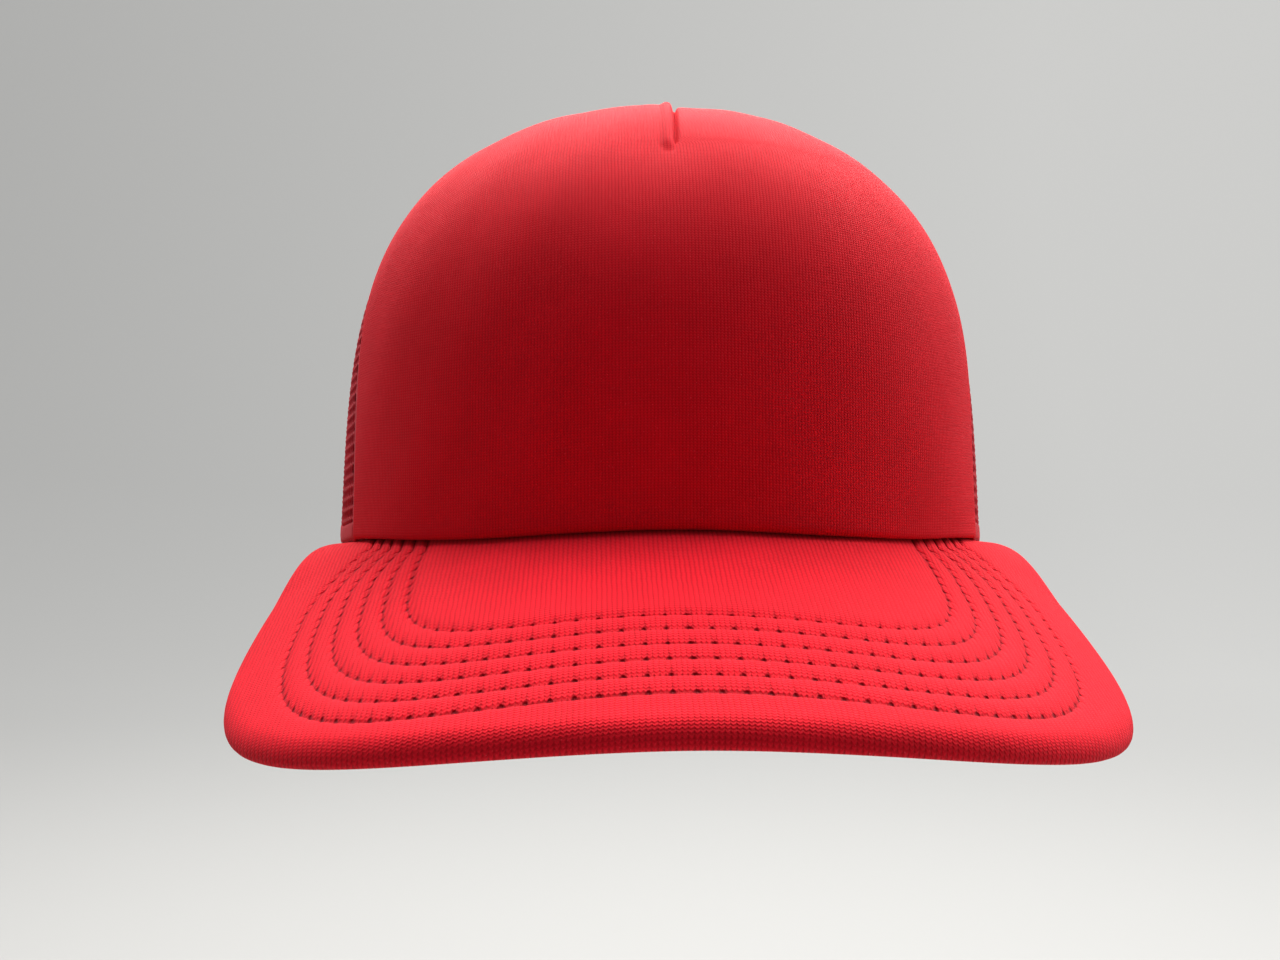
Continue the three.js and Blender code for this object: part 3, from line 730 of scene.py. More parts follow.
def make_stage():
    """A pale floor that sweeps up on every side into a plain backdrop, which gives off painted light,
    stronger to the right and towards the back.
    """
    floor, reach, bend = -0.45, 2.2, 1.4
    profile = [(0.0, floor), (reach * 0.5, floor), (reach, floor)]
    for step in range(1, 17):
        angle = step / 16 * math.pi / 2
        profile.append((reach + bend * math.sin(angle), floor + bend * (1 - math.cos(angle))))
    profile.append((reach + bend, floor + bend + 9))
    segments = 96
    angles = np.arange(segments) / segments * TAU
    radius, height = np.array(profile).T
    grid = np.stack([np.cos(angles)[:, None] * radius, np.sin(angles)[:, None] * radius,
                     np.broadcast_to(height, (segments, len(height)))], -1)
    quads = grid_quads(index_grid(segments, len(height)), True)[:, ::-1]
    mesh = bpy.data.meshes.new("backdrop")
    mesh.from_pydata(grid.reshape(-1, 3).tolist(), [], quads.tolist())
    mesh.shade_smooth()
    paper = Finish("backdrop_paper", "board", Specular_IOR_Level=0.1, Emission_Strength=1.0)
    grain = paper.noise(paper.place(), 0.004, 3.0)
    colour = paper.mix(grain, tone(0.20, 0.20, 0.195), tone(0.21, 0.21, 0.205))
    # Painted light: the paper emits light, stronger to the right and stronger still towards the back.
    across, depth, _ = paper.node("ShaderNodeSeparateXYZ", Vector=paper.place()).outputs
    rightward = paper.stretch(across, -2.2, 2.2, 0.4, 1.2)
    toward = paper.math("MULTIPLY", paper.stretch(depth, -2.0, 2.2), rightward)
    painted_backdrop_light = paper.mix(toward, tone(0.13, 0.13, 0.13), tone(0.53, 0.53, 0.52))
    paper.put(paper.shader.inputs["Emission Color"], painted_backdrop_light)
    mesh.materials.append(paper.finish(colour, paper.stretch(grain, 0.3, 0.7, 0.85, 0.95),
                                       paper.bump(grain, 0.1, 0.2)))
    add_object("backdrop", mesh)


# ---- Crown -------------------------------------------------------------------

def even_shares(count, edge, turn=0.0):
    """Shares up a meridian that are evenly spaced along it, closer together near its foot."""
    dense = np.linspace(0, 1, 4000)
    angle = np.full_like(dense, turn)
    path = crown_point(angle, lift_at(angle, dense), 0.0)
    length = path_length(*path.T)
    stops = np.concatenate([edge, np.linspace(edge[-1], length[-1], count)[1:]])
    return np.interp(stops, length, dense), stops


def rolled(distance, radius):
    """How far an edge of a given radius has rolled in at a distance from it."""
    near = np.clip(radius - distance, 0, radius)
    return radius - np.sqrt(radius * radius - near * near)


def dart_depth(x, y):
    """The front panel's dart: a fold that lies over a sunk seam and ends in a small pucker."""
    front = -DART_LENGTH
    held = smoothstep(y, front, front + 2.5) * (y < 0)
    across = x - 1.3 - (y - front - 3.5) * 0.037
    fold = 0.55 * bell(across + 1.9, 1.2) - 0.2 * bell(across + 3.5, 0.8)
    seam = 1.9 * bell(across, 0.55) * smoothstep(y, front + 1.0, front + 4.0)
    drop = 0.75 * (across > 0) * np.exp(-np.clip(across, 0, 60) / 9) * smoothstep(y, front, front + 30)
    round_end = np.hypot(across + 1.7, (y - front - 1.5) * 0.8)
    end = 0.24 * bell(round_end - 1.7, 0.45) * smoothstep(-y, -front - 2.6, -front - 0.6)
    pull = 0.35 * bell(np.hypot(x, y - front), 6.0)
    return held * (seam - fold) + drop + end + pull


def cloth_waves(turn, up):
    """The shallow unevenness of cloth over foam, in millimetres."""
    across = turn * 90
    return (0.16 * np.sin(across / 17 + 0.8) * np.sin(up / 23 + 0.4)
            + 0.11 * np.sin(across / 9.3 + up / 13 + 2.1)
            + 0.07 * np.sin(across / 5.1 - up / 8.7))


def front_panel_grid(layer, columns, rows, edge_roll, foot_roll, detail=1.0):
    edge = np.array([0, 0.15, 0.4, 0.75, 1.15, 1.6, 2.1, 2.7, 3.4, 4.2])
    shares, up = even_shares(rows, edge)
    dense = np.linspace(-1, 1, 4001)
    weight = 1 + 2.4 * bell(dense, 0.07) + 3.5 * bell(1 - np.abs(dense), 0.03)
    amount = np.cumsum(weight) - weight[0]
    spread = np.interp(np.linspace(0, amount[-1], columns), amount, dense)
    seam = seam_turn(FRONT_SEAM, shares)
    turn = spread[:, None] * seam[None, :]
    lift = lift_at(turn, shares[None, :])
    flat = crown_point(turn, lift, 0.0)
    radius = np.hypot(flat[..., 0], flat[..., 1])
    to_seam = (seam[None, :] - np.abs(turn)) * radius
    depth = rolled(to_seam, edge_roll) + rolled(up[None, :], foot_roll)
    depth = np.minimum(depth, max(edge_roll, foot_roll))
    depth = depth + detail * (dart_depth(flat[..., 0], flat[..., 1]) + cloth_waves(turn, up[None, :]))
    return crown_point(turn, lift, layer + depth)


def make_front_panel():
    grid = front_panel_grid(0.0, 321, 144, 2.6, 2.8)
    panel = cloth_piece("front_panel", grid, 0.7, FACE_KNIT, stands_for=["front_panel_face"])
    lining = front_panel_grid(1.65, 281, 130, 1.5, 1.5)
    foam = cloth_piece("front_panel_foam_pad", lining, 1.1, FOAM, stands_for=["front_panel_foam"])


# ---- Threads -----------------------------------------------------------------

def ring_round(side, up, count):
    """A ring of points round each step of a path, from its two cross directions."""
    angle = (np.arange(count) / count * TAU)[None, :, None]
    return np.cos(angle) * side[:, None] + np.sin(angle) * up[:, None]


def stitch_tube(path, normal, pitch, radius, dip, phase=0.0, sides=6):
    """Sections of a thread along a path, which dips into the cloth once every pitch."""
    arc = path_length(*path.T)
    stops = np.linspace(0, arc[-1], int(arc[-1] / pitch * 10))
    centre = np.stack([np.interp(stops, arc, axis) for axis in path.T], -1)
    up = unit(np.stack([np.interp(stops, arc, axis) for axis in normal.T], -1))
    side = np.cross(unit(np.gradient(centre, axis=0)), up)
    hump = np.abs(np.sin((stops - phase) / pitch * math.pi)) ** 0.6
    centre = centre + up * (dip * (hump - 1))[:, None]
    ring = ring_round(side * 1.15, up * 0.85, sides)
    return centre[:, None] + ring * radius * (0.75 + 0.25 * hump)[:, None, None]


def tube_mesh(sections):
    loops = closed_loops(sections)
    count = sections.shape[1]
    quads = [grid_quads(loops)]
    for end, order in ((0, 1), (-1, -1)):
        loop = loops[end][::order]
        for k in range(1, count - 1, 2):
            last = min(k + 2, count - 1)
            quads.append(np.array([[loop[0], loop[last], loop[k + 1], loop[k]]]))
    points = sections.reshape(-1, 3)
    return points, facing_out(points, np.concatenate(quads)), cloth_uv(sections).reshape(-1, 2)


def thread_piece(name, tubes, **kept):
    points, quads, uv = merged([tube_mesh(sections) for sections in tubes])
    return make_piece(name, points, quads, THREAD, {"mm": uv}, oriented=True, **kept)


def crown_run(turn, lift, depth):
    """A path on the crown and the way out from it."""
    path = crown_point(turn, lift, depth)
    return path, unit(crown_point(turn, lift, depth - 1.0) - path)


# ---- Net panels --------------------------------------------------------------

NET_PITCH = 2.9
NET_ROW = 2.5
NET_HALF_STRAND = 0.42
NET_HALF_THICKNESS = 0.42
NET_DEPTH = 1.1


def net_cell():
    """One cell of the net: strands round a hole, with fuller knots at its six corners."""
    count = 12
    index = np.arange(count)
    angle = np.radians(30 * index)
    corner = index % 2 == 1
    reach = np.where(corner, NET_PITCH / math.sqrt(3), NET_PITCH / 2)
    edge = np.stack([np.cos(angle), np.sin(angle)], -1) * reach[:, None]
    edge[:, 1] *= NET_ROW / (NET_PITCH * math.sqrt(3) / 2)
    gap = np.where(corner, NET_PITCH / 2 - NET_HALF_STRAND + 0.12, NET_PITCH / 2 - NET_HALF_STRAND)
    hole = np.stack([np.cos(angle), np.sin(angle)], -1) * gap[:, None]
    knot = np.where(corner, 1.2, 0.85) * NET_HALF_THICKNESS
    loops = []
    for share, level in ((0, 1), (0.62, 0.8), (1, 0), (0.62, -0.8), (0, -1)):
        flat = edge + (hole - edge) * share
        loops.append(np.concatenate([flat, (knot * level)[:, None]], 1))
    return np.stack(loops)


def net_points(places, to_surface):
    """Repeats the net's cell at places on a panel; to_surface maps (across, up, rise) to points."""
    cell = net_cell()
    loops, count = cell.shape[:2]
    points = np.concatenate([places, np.zeros((len(places), 1))], 1)[:, None, None, :] + cell[None]
    flat = points.reshape(-1, 3)
    _, first, shared = np.unique(np.round(flat, 2), axis=0, return_index=True, return_inverse=True)
    shared = shared.reshape(len(places), loops, count)
    turn = np.roll(np.arange(count), -1)
    near, far = shared[:, :-1], shared[:, 1:]
    quads = np.stack([near, near[:, :, turn], far[:, :, turn], far], -1).reshape(-1, 4)
    flat = flat[first]
    return to_surface(flat[:, 0], flat[:, 1], flat[:, 2]), quads, flat[:, :2]


class PanelMap:
    """Measures a crown panel between two seams, in millimetres across and up its middle."""

    def __init__(self, from_seam, to_seam, side):
        self.seams, self.side = (from_seam, to_seam), side
        self.shares = np.linspace(0, 1, 400)
        grid = self.at(np.linspace(0, 1, 61)[:, None], self.shares[None, :], NET_DEPTH)
        self.width = np.linalg.norm(np.diff(grid, axis=0), axis=-1).sum(0)
        self.height = path_length(*grid[30].T)

    def at(self, u, share, depth):
        low, high = (seam_turn(seam, share) for seam in self.seams)
        turn = low + (high - low) * u
        return crown_point(self.side * turn, lift_at(turn, share), depth)

    def half_width(self, up):
        return np.interp(up, self.height, self.width) / 2

    def surface(self, across, up, rise):
        share = np.interp(up, self.height, self.shares)
        half = np.interp(share, self.shares, self.width) / 2
        u = np.clip(0.5 + across / (2 * half), 0.0, 1.0)
        return self.at(u, share, NET_DEPTH - rise)


def hem_mesh(outer, inner):
    points, quads = closed_sheet(outer, inner)
    uv = cloth_uv(outer).reshape(-1, 2)
    return points, facing_out(points, quads), np.concatenate([uv, uv])


def net_hem(panel, u_edge, inward, low_share=0.0, under=0.0):
    """The folded edge of a net panel along one seam, which may run on under its neighbour."""
    shares = np.linspace(low_share, 1, 150)
    half = np.interp(shares, panel.shares, panel.width)
    offsets = np.linspace(-under, 2.1, 6)
    u = u_edge + inward * offsets[:, None] / half[None, :]
    swell = np.array([0.45, 0.58, 0.62, 0.6, 0.45, 0.1])[:, None]
    share = np.broadcast_to(shares, u.shape)
    outer = panel.at(u, share, NET_DEPTH - swell)
    inner = panel.at(u, share, NET_DEPTH + swell)
    return hem_mesh(outer, inner)


def net_foot(panel, high):
    """The turned-in lower edge of a net panel, which reaches the sweatband and ends at the back opening."""
    u = np.linspace(0, 1, 400)
    foot = panel.at(u, np.zeros(400), NET_DEPTH)
    kept = u[(foot[:, 1] < 0) | (np.abs(foot[:, 0]) > ARCH_HALF_WIDTH + 0.5)]
    u = np.linspace(kept.min(), kept.max(), 90)[:, None]
    up = np.linspace(0, high, 8)
    share = np.broadcast_to(np.interp(up, panel.height, panel.shares), (90, 8))
    swell = 0.6 * np.sqrt(np.clip(1 - (up / high * 2 - 1) ** 4, 0, 1))[None, :]
    outer = panel.at(u, share, NET_DEPTH - swell)
    turned_in = swell + 2.5 * (1 - smoothstep(up, 0.5, high))[None, :]
    inner = panel.at(u, share, NET_DEPTH + turned_in)
    return hem_mesh(outer, inner)


def in_arch(points, margin):
    x = np.abs(points[:, 0]) / (ARCH_HALF_WIDTH + margin)
    z = np.clip(points[:, 2], 0, None) / (ARCH_HEIGHT + margin)
    return (x ** ARCH_POWER + z ** ARCH_POWER < 1) & (points[:, 1] > 0)


def make_net(name, from_seam, to_seam, side, hem_low):
    panel = PanelMap(from_seam, to_seam, side)
    rows = np.arange(int(panel.height[-1] / NET_ROW) - 1)
    places = []
    for row in rows:
        up = 1.2 + row * NET_ROW
        half = panel.half_width(up) - 0.9
        reach = int(half / NET_PITCH) + 2
        columns = (np.arange(-reach, reach + 1) + 0.5 * (row % 2)) * NET_PITCH
        columns = columns[np.abs(columns) < half]
        places += [(x, up) for x in columns]
    places = np.array(places)
    places = places[~in_arch(panel.surface(places[:, 0], places[:, 1], 0.0), 0.8)]
    points, quads, uv = net_points(places, panel.surface)
    cell_centre = points[quads].mean(1)
    normal = np.cross(points[quads[:, 1]] - points[quads[:, 0]], points[quads[:, 3]] - points[quads[:, 0]])
    first_loop = np.arange(len(quads)) % 48 < 12
    outward = cell_centre - np.array([0, 0, 30])
    if (normal * outward).sum(1)[first_loop].sum() < 0:
        quads = quads[:, ::-1]
    under = 3.0 if from_seam == FRONT_SEAM else 0.0
    hems = [net_hem(panel, 0, 1, 0.0, under), net_hem(panel, 1, -1, hem_low), net_foot(panel, 4.2)]
    points, quads, uv = merged([(points, quads, uv)] + hems)
    make_piece(f"{name}_net", points, quads, NET, {"mm": uv}, oriented=True, stands_for=[name])


def make_nets():
    arch_top = 0.505
    for label, side in (("left", 1), ("right", -1)):
        make_net(f"mesh_side_{label}", FRONT_SEAM, SIDE_SEAM, side, 0.0)
        make_net(f"mesh_back_{label}", SIDE_SEAM, CENTRE_SEAM, side, arch_top)


# ---- Tapes and binding -------------------------------------------------------

def make_tape(name, seam, start, end, side):
    """Tape over a seam inside the crown, with a row of stitches along each edge."""
    share = np.linspace(start, end, 110)
    turn = seam_turn(seam, share)
    lift = lift_at(turn, share)
    middle = crown_point(turn, lift, 3.4)
    radius = np.hypot(middle[:, 0], middle[:, 1])
    offset = np.linspace(-0.5, 0.5, 17) * TAPE_WIDTH
    swell = 0.5 * bell(offset, 2.6) - 0.15 * bell(np.abs(offset) - TAPE_ROW, 0.6)
    turns = turn[None, :] + offset[:, None] / radius[None, :]
    grid = crown_point(side * turns, lift[None, :], 4.1 + swell[:, None])
    cloth_piece(f"{name}_woven", grid, -0.6, TAPE, stands_for=[name])
    tubes = []
    for row in (-TAPE_ROW, TAPE_ROW):
        path, outward = crown_run(side * (turn + row / radius), lift, 4.15)
        tubes.append(stitch_tube(path, -outward, TAPE_PITCH, 0.24, 0.4))
    thread_piece(f"{name}_stitches", tubes)


def make_dart_tape():
    forward = np.linspace(9, DART_LENGTH, 60)
    reach = forward / (FRONT_REACH - 3.7) / (1 - WALL_TAPER * 0.95)
    lift = (1 - reach ** ROOF_POWER[1]) ** (1 / WALL_POWER[1])
    offset = np.linspace(-0.5, 0.5, 15) * TAPE_WIDTH
    turns = offset[:, None] / forward[None, :]
    swell = 0.8 * bell(offset, 3.0)
    grid = crown_point(turns, lift[None, :], 4.1 + swell[:, None])
    cloth_piece("dart_seam_tape_woven", grid, -0.6, TAPE, stands_for=["dart_seam_tape"])
    tubes = []
    for row in (-TAPE_ROW, TAPE_ROW):
        path, outward = crown_run(row / forward, lift, 4.15)
        tubes.append(stitch_tube(path, -outward, TAPE_PITCH, 0.24, 0.4))
    thread_piece("dart_seam_tape_stitches", tubes)


def arch_place(share, margin):
    angle = share * math.pi
    x = (ARCH_HALF_WIDTH + margin) * signed_power(np.cos(angle), ARCH_POWER)
    z = (ARCH_HEIGHT + margin) * signed_power(np.sin(angle), ARCH_POWER)
    return x, np.maximum(z, 0)


def even_arch(count, margin):
    dense = np.linspace(0, 1, 3000)
    x, z = arch_place(dense, margin)
    return even_stops(count, path_length(x, z), dense)


def make_binding():
    """Tape folded over the edge of the back opening, sewn through near its outer margin."""
    share = even_arch(170, 3.0)
    outer, inner, ply = -0.6, 2.6, 0.6
    margins = np.linspace(BINDING_WIDTH, 0.2, 16)
    dents = 0.25 * bell(margins - BINDING_ROW, 0.7)
    profile = list(zip(margins, outer + dents))
    fold = (inner - outer) / 2
    for k in range(1, 12):
        angle = k / 12 * math.pi
        profile.append((0.2 - 1.5 * math.sin(angle), outer + fold - fold * math.cos(angle)))
    profile += list(zip(margins[::-1], inner - dents[::-1]))
    profile += [(BINDING_WIDTH, inner - ply), (0.3, inner - ply), (-0.2, inner - ply - 0.5),
                (-0.2, outer + ply + 0.5), (0.3, outer + ply), (BINDING_WIDTH, outer + ply)]
    margin, depth = np.array(profile).T
    x, z = arch_place(share[:, None], margin[None, :])
    swept_piece("back_opening_binding_woven", back_point(x, z, np.broadcast_to(depth, x.shape)), TAPE,
                stands_for=["back_opening_binding"])
    tubes = []
    for face, sign in ((outer, 1), (inner, -1)):
        x, z = arch_place(share, BINDING_ROW)
        path = back_point(x, z, face + sign * 0.15)
        outward = (back_point(x, z, face - 1.0) - path) * sign
        tubes.append(stitch_tube(path, outward, TAPE_PITCH, 0.25, 0.45))
    thread_piece("back_opening_binding_stitches", tubes)


# ---- Sweatband ---------------------------------------------------------------

def band_point(turn, depth, height):
    drop = BAND_DROP * (1 - smoothstep(np.abs(turn), math.radians(55), TEMPLE_TURN))
    local = height - drop
    x, y = oval_point(turn, depth)
    base = visor_height(x, y) + GAP
    lift = np.maximum(local, 0) / (CROWN_HEIGHT - depth - base)
    point = crown_point(turn, lift, depth)
    point[..., 2] = base + local
    return point


def even_band(count):
    dense = np.linspace(-BAND_TURN, BAND_TURN, 4000)
    x, y = oval_point(dense, 6.0)
    length = path_length(x, y)
    return even_stops(count, length, dense), np.linspace(0, length[-1], count)


def band_swell(height, arc):
    """How the inner ply stands off its foam between the lower stitching and the upper edge."""
    rise = np.clip((height - 6.2) / (BAND_HEIGHT - 7.5), 0, 1)
    puckers = 1 + 0.12 * np.sin(arc / 3.1) + 0.08 * np.sin(arc / 1.7 + 1)
    stand_off = 1.1 * np.sin(rise * math.pi) ** 0.6 * (1 + 0.06 * np.sin(arc / 11))
    return stand_off - 0.35 * bell(height - BAND_STITCH_HEIGHT, 0.9) * puckers


def pressed(depth, arc):
    """Depths in the sweatband, which is pressed flat where its two ends are sewn."""
    outer_ply = 4.85
    from_end = np.minimum(arc, arc.max() - arc)
    flatter = outer_ply + (depth - outer_ply) * (1 - 0.75 * bell(from_end, 3.0))
    return np.where(depth > outer_ply, flatter, depth)


def make_sweatband():
    """Cloth that folds round the band's foot, over foam, with a sewn and overlocked edge."""
    turn, arc = even_band(420)
    foot, outer, inner, ply = GAP, 4.4, 6.7, 0.45
    middle, radius = (outer + inner) / 2, (inner - outer) / 2
    profile = [(outer, h) for h in np.linspace(30, foot + radius, 14)]
    for k in range(1, 10):
        angle = k / 10 * math.pi
        profile.append((middle - radius * math.cos(angle), foot + radius * (1 - math.sin(angle))))
    face = len(profile)
    profile += [(inner, h) for h in np.linspace(foot + radius, BAND_HEIGHT, 34)]
    face_end = len(profile)
    profile += [(inner - ply, BAND_HEIGHT), (inner - ply, foot + radius), (middle, foot + ply),
                (outer + ply, foot + radius), (outer + ply, 30)]
    depth, height = (np.broadcast_to(a, (len(turn), len(profile))).copy() for a in np.array(profile).T)
    swell = band_swell(height[:, face:face_end], arc[:, None])
    depth[:, face:face_end] += swell
    depth = pressed(depth, arc[:, None])
    band = swept_piece("sweatband", band_point(turn[:, None], depth, height), BAND_KNIT,
                       stands_for=["sweatband_cover"])
    foam_height = np.linspace(1.6, 28, 20)
    foam_turn, foam_arc = turn[8:-8:4, None], arc[8:-8:4, None]
    foam_outer = band_point(foam_turn, np.full((len(foam_turn), 20), 5.0), foam_height[None, :])
    foam_swell = 0.8 * band_swell(foam_height[None, :], foam_arc)
    foam_inner = band_point(foam_turn, 6.05 + foam_swell, foam_height[None, :])
    foam = sheet_piece("sweatband_foam_pad", foam_outer, foam_inner, FOAM,
                       {"mm": cloth_uv(foam_outer)}, stands_for=["sweatband_foam"])
    seam_depth = pressed(np.full_like(arc, 6.6), arc)
    path = band_point(turn, seam_depth, BAND_STITCH_HEIGHT)
    inward = band_point(turn, seam_depth + 1.0, BAND_STITCH_HEIGHT) - path
    seam = [stitch_tube(path, inward, 3.0, 0.26, 0.3)]
    thread_piece("sweatband_stitches", seam, stands_for=["sweatband_stitch"])
    make_overlock()


def make_overlock():
    """Overlock thread looped round the top edge of the sweatband."""
    turn, arc = even_band(2600)
    swing = arc / 1.5 * TAU
    depth = 6.5 + 0.55 * np.sin(swing)
    height = BAND_HEIGHT - 1.3 + 1.5 * np.cos(swing)
    path = band_point(turn, pressed(depth, arc), height)
    along = unit(np.gradient(path, axis=0))
    side = unit(np.cross(along, [0.0, 0.0, 1.0]))
    ring = ring_round(side, np.cross(side, along), 4)
    thread_piece("sweatband_overlock", [path[:, None] + ring * 0.2])


# ---- Visor -------------------------------------------------------------------

GROOVE = 0.9


def groove_depth(level, arc):
    """How deep the quilted cover lies at a stitch level: sunk on the rows, puffed between."""
    inside = (level > 0) & (level < ROW_COUNT - 1)
    between = 1 - np.abs(np.sin(level * math.pi)) ** 0.42
    beyond = np.where(level <= 0, -level, level - (ROW_COUNT - 1)) * ROW_SPACING
    outside = np.exp(-np.clip(beyond, 0, 50) / 0.9)
    depth = np.where(inside, between, outside)
    tug = 0.5 + 0.5 * np.cos(arc / NEEDLE_PITCH * TAU)
    return GROOVE * depth + 0.10 * tug * depth ** 0.5 * (depth < 0.95)


def rows_map(x, y):
    level = row_level(x, y)
    return level, row_arc(level, x, y)


def make_visor_cover():
    """The upper cover, quilted by six rows of stitching, which rolls over the rim."""
    top_rows = 226
    s = np.linspace(-1, 1, 345)[:, None]
    share = 1 - (1 - np.linspace(0, 1, top_rows)) ** 1.12
    x, y = visor_plan(s, share[None, :], RIM_INSET)
    level, arc = rows_map(x, y)
    rise = 0.25 * np.sin(share[None, :] * math.pi) ** 0.5
    top = np.stack([x, y, visor_height(x, y) - groove_depth(level, arc) + rise], -1)
    sections = [top]
    uvs = [np.stack([x, -y / math.cos(VISOR_TILT)], -1)]
    rows = [np.stack([level, arc], -1)]

    def add(inset, depth, at_share=1.0):
        px, py = visor_plan(s[:, 0], at_share, inset)
        sections.append(np.stack([px, py, visor_height(px, py) - depth], -1)[:, None])
        uvs.append(np.stack([px, -py / math.cos(VISOR_TILT) + depth], -1)[:, None])
        rows.append(np.stack([np.full_like(px, 7.5), rows[0][:, -1, 1]], -1)[:, None])

    half = VISOR_THICKNESS / 2
    for k in range(1, 15):
        angle = k / 14 * math.pi
        add(RIM_INSET * (1 - math.sin(angle)), half - half * math.cos(angle))
    add(3.3, 5.2)
    for k in (3, 2, 1):
        angle = k / 4 * math.pi
        add(RIM_INSET - 1.9 * math.sin(angle), half - 2.1 * math.cos(angle))
    add(RIM_INSET, 0.75)
    add(RIM_INSET, 1.8, 0.96)
    add(RIM_INSET, 1.8, 0.0)
    grid = np.concatenate(sections, 1)
    loops = closed_loops(grid)
    quads = [grid_quads(loops)]
    last = grid.shape[1] - 1
    under_rows = grid.shape[1] - top_rows
    for end, order in ((0, 1), (-1, -1)):
        line = loops[end]
        for k in range(top_rows - 1):
            back = line[min(last - k * under_rows // (top_rows - 1), last)]
            back_next = line[max(last - (k + 1) * under_rows // (top_rows - 1), top_rows)]
            quads.append(np.array([[line[k], line[k + 1], back_next, back][::order]]))
    lengths = {"mm": np.concatenate(uvs, 1).reshape(-1, 2), "rows": np.concatenate(rows, 1).reshape(-1, 2)}
    cover = make_piece("visor_upper_cover", grid.reshape(-1, 3), np.concatenate(quads), VISOR_KNIT,
                       lengths, stands_for=["visor_top_cover"])


def make_visor_under():
    """The lower cover, which also closes the visor's inner edge behind the crown."""
    s = np.linspace(-1, 1, 231)[:, None]
    share = np.concatenate([np.zeros(4), np.linspace(0, 1, 150)])[None, :]
    x, y = visor_plan(s, share, 3.3)
    level, arc = rows_map(x, y)
    depth = 5.4 - 0.4 * groove_depth(level, arc)
    depth[:, :4] = 2.0, 3.0, 4.0, 5.0
    grid = np.stack([x, y, visor_height(x, y) - depth], -1)
    uv = np.stack([x, -y / math.cos(VISOR_TILT) - (5.4 - depth)], -1)
    cloth_piece("visor_lower_cover", grid, 0.35, VISOR_KNIT,
                {"mm": uv, "rows": np.stack([level, arc], -1)}, stands_for=["visor_under_cover"])


def make_visor_board():
    """The stiffener: a thin moulded plate with eased edges, short of the covers all round."""
    s = np.linspace(-0.965, 0.965, 161)[:, None]
    share = np.linspace(0.025, 1, 60)
    ease = 0.35 * bell(1 - share, 0.02)[None, :]
    x, y = visor_plan(s, share[None, :], 4.0)
    level = visor_height(x, y)
    top = np.stack([x, y, level - 2.6 - ease], -1)
    bottom = np.stack([x, y, level - 4.2 + ease], -1)
    sheet_piece("visor_stiffener", top, bottom, BOARD, {"mm": top[..., :2]}, stands_for=["visor_board"])


def make_visor_foam():
    s = np.linspace(-0.965, 0.965, 121)[:, None]
    share = np.linspace(0.025, 1, 50)[None, :]
    x, y = visor_plan(s, share, 3.6)
    grid = np.stack([x, y, visor_height(x, y) - 1.85 - 0.08 * np.sin(x / 4) * np.sin(y / 5)], -1)
    foam = sheet_piece("visor_foam_pad", grid, grid - [0, 0, 0.5], FOAM, {"mm": grid[..., :2]},
                       stands_for=["visor_top_foam"])


def row_line(row):
    """A stitch row as x and y evenly spaced along it, from the right end to the left end."""
    dense_x, dense_y = row_place(row, np.linspace(0, 1, 2500))
    arc = path_length(dense_x, dense_y)
    stops = np.arange(0, arc[-1], 0.5)
    x, y = np.interp(stops, arc, dense_x), np.interp(stops, arc, dense_y)
    return np.concatenate([-x[:0:-1], x]), np.concatenate([y[:0:-1], y]), stops[-1]


def make_visor_rows():
    """Each row's upper and lower thread, which meet in the same needle holes."""
    for row in range(ROW_COUNT):
        x, y, reach = row_line(row)
        up = np.broadcast_to([0.0, -math.sin(VISOR_TILT), math.cos(VISOR_TILT)], (len(x), 3))
        phase = reach % NEEDLE_PITCH
        top = np.stack([x, y, visor_height(x, y) - GROOVE - 0.02], -1)
        under = np.stack([x, y, visor_height(x, y) - 5.05], -1)
        tubes = [stitch_tube(top, up, NEEDLE_PITCH, 0.24, 0.5, phase),
                 stitch_tube(under, -up, NEEDLE_PITCH, 0.26, 0.5, phase)]
        thread_piece(f"visor_stitches_{row + 1}", tubes, stands_for=[f"visor_stitch_row_{row + 1}"])


# ---- Snap strap --------------------------------------------------------------

def flat_plate(outline, holes, half_thickness, edge):
    """A flat plate with rounded edges and round holes, finely divided along its length."""
    curve = bpy.data.curves.new("plate", "CURVE")
    curve.dimensions = "2D"
    curve.fill_mode = "BOTH"
    curve.extrude = half_thickness - edge
    curve.bevel_depth = edge
    curve.bevel_resolution = 2
    for ring in [outline] + holes:
        spline = curve.splines.new("POLY")
        spline.points.add(len(ring) - 1)
        spline.points.foreach_set("co", np.array([(x, z, 0, 1) for x, z in ring], float).ravel())
        spline.use_cyclic_u = True
    holder = add_object("plate", curve)
    mesh = bpy.data.meshes.new_from_object(holder.evaluated_get(bpy.context.evaluated_depsgraph_get()))
    bpy.data.objects.remove(holder)
    solid = bmesh.new()
    solid.from_mesh(mesh)
    bmesh.ops.remove_doubles(solid, verts=solid.verts, dist=1e-4)
    xs = [p[0] for p in outline]
    cuts = [((x, 0, 0), (1, 0, 0)) for x in np.arange(math.ceil(min(xs)) + 0.5, max(xs), 1.5)]
    cuts += [((0, z, 0), (0, 1, 0)) for z in np.arange(STRAP_BOTTOM + 1.5, STRAP_TOP, 3.0)]
    for spot, normal in cuts:
        everything = solid.verts[:] + solid.edges[:] + solid.faces[:]
        bmesh.ops.bisect_plane(solid, geom=everything, plane_co=spot, plane_no=normal)
    return solid


def strap_outline(tip, tab, side):
    """The strap's outline seen from behind: a round free end and a tab with eased corners."""
    half = (STRAP_TOP - STRAP_BOTTOM) / 2
    points = []
    for k in range(33):
        angle = math.pi / 2 + k / 32 * math.pi
        points.append((tip + side * (half + half * math.cos(angle)), STRAP_MIDDLE + half * math.sin(angle)))
    ease = 2.5
    for centre_z, start in ((STRAP_BOTTOM + ease, -math.pi / 2), (STRAP_TOP - ease, 0)):
        for k in range(9):
            angle = start + k / 8 * math.pi / 2
            x = tab - side * ease + side * ease * math.cos(angle)
            points.append((x, centre_z + ease * math.sin(angle)))
    return points


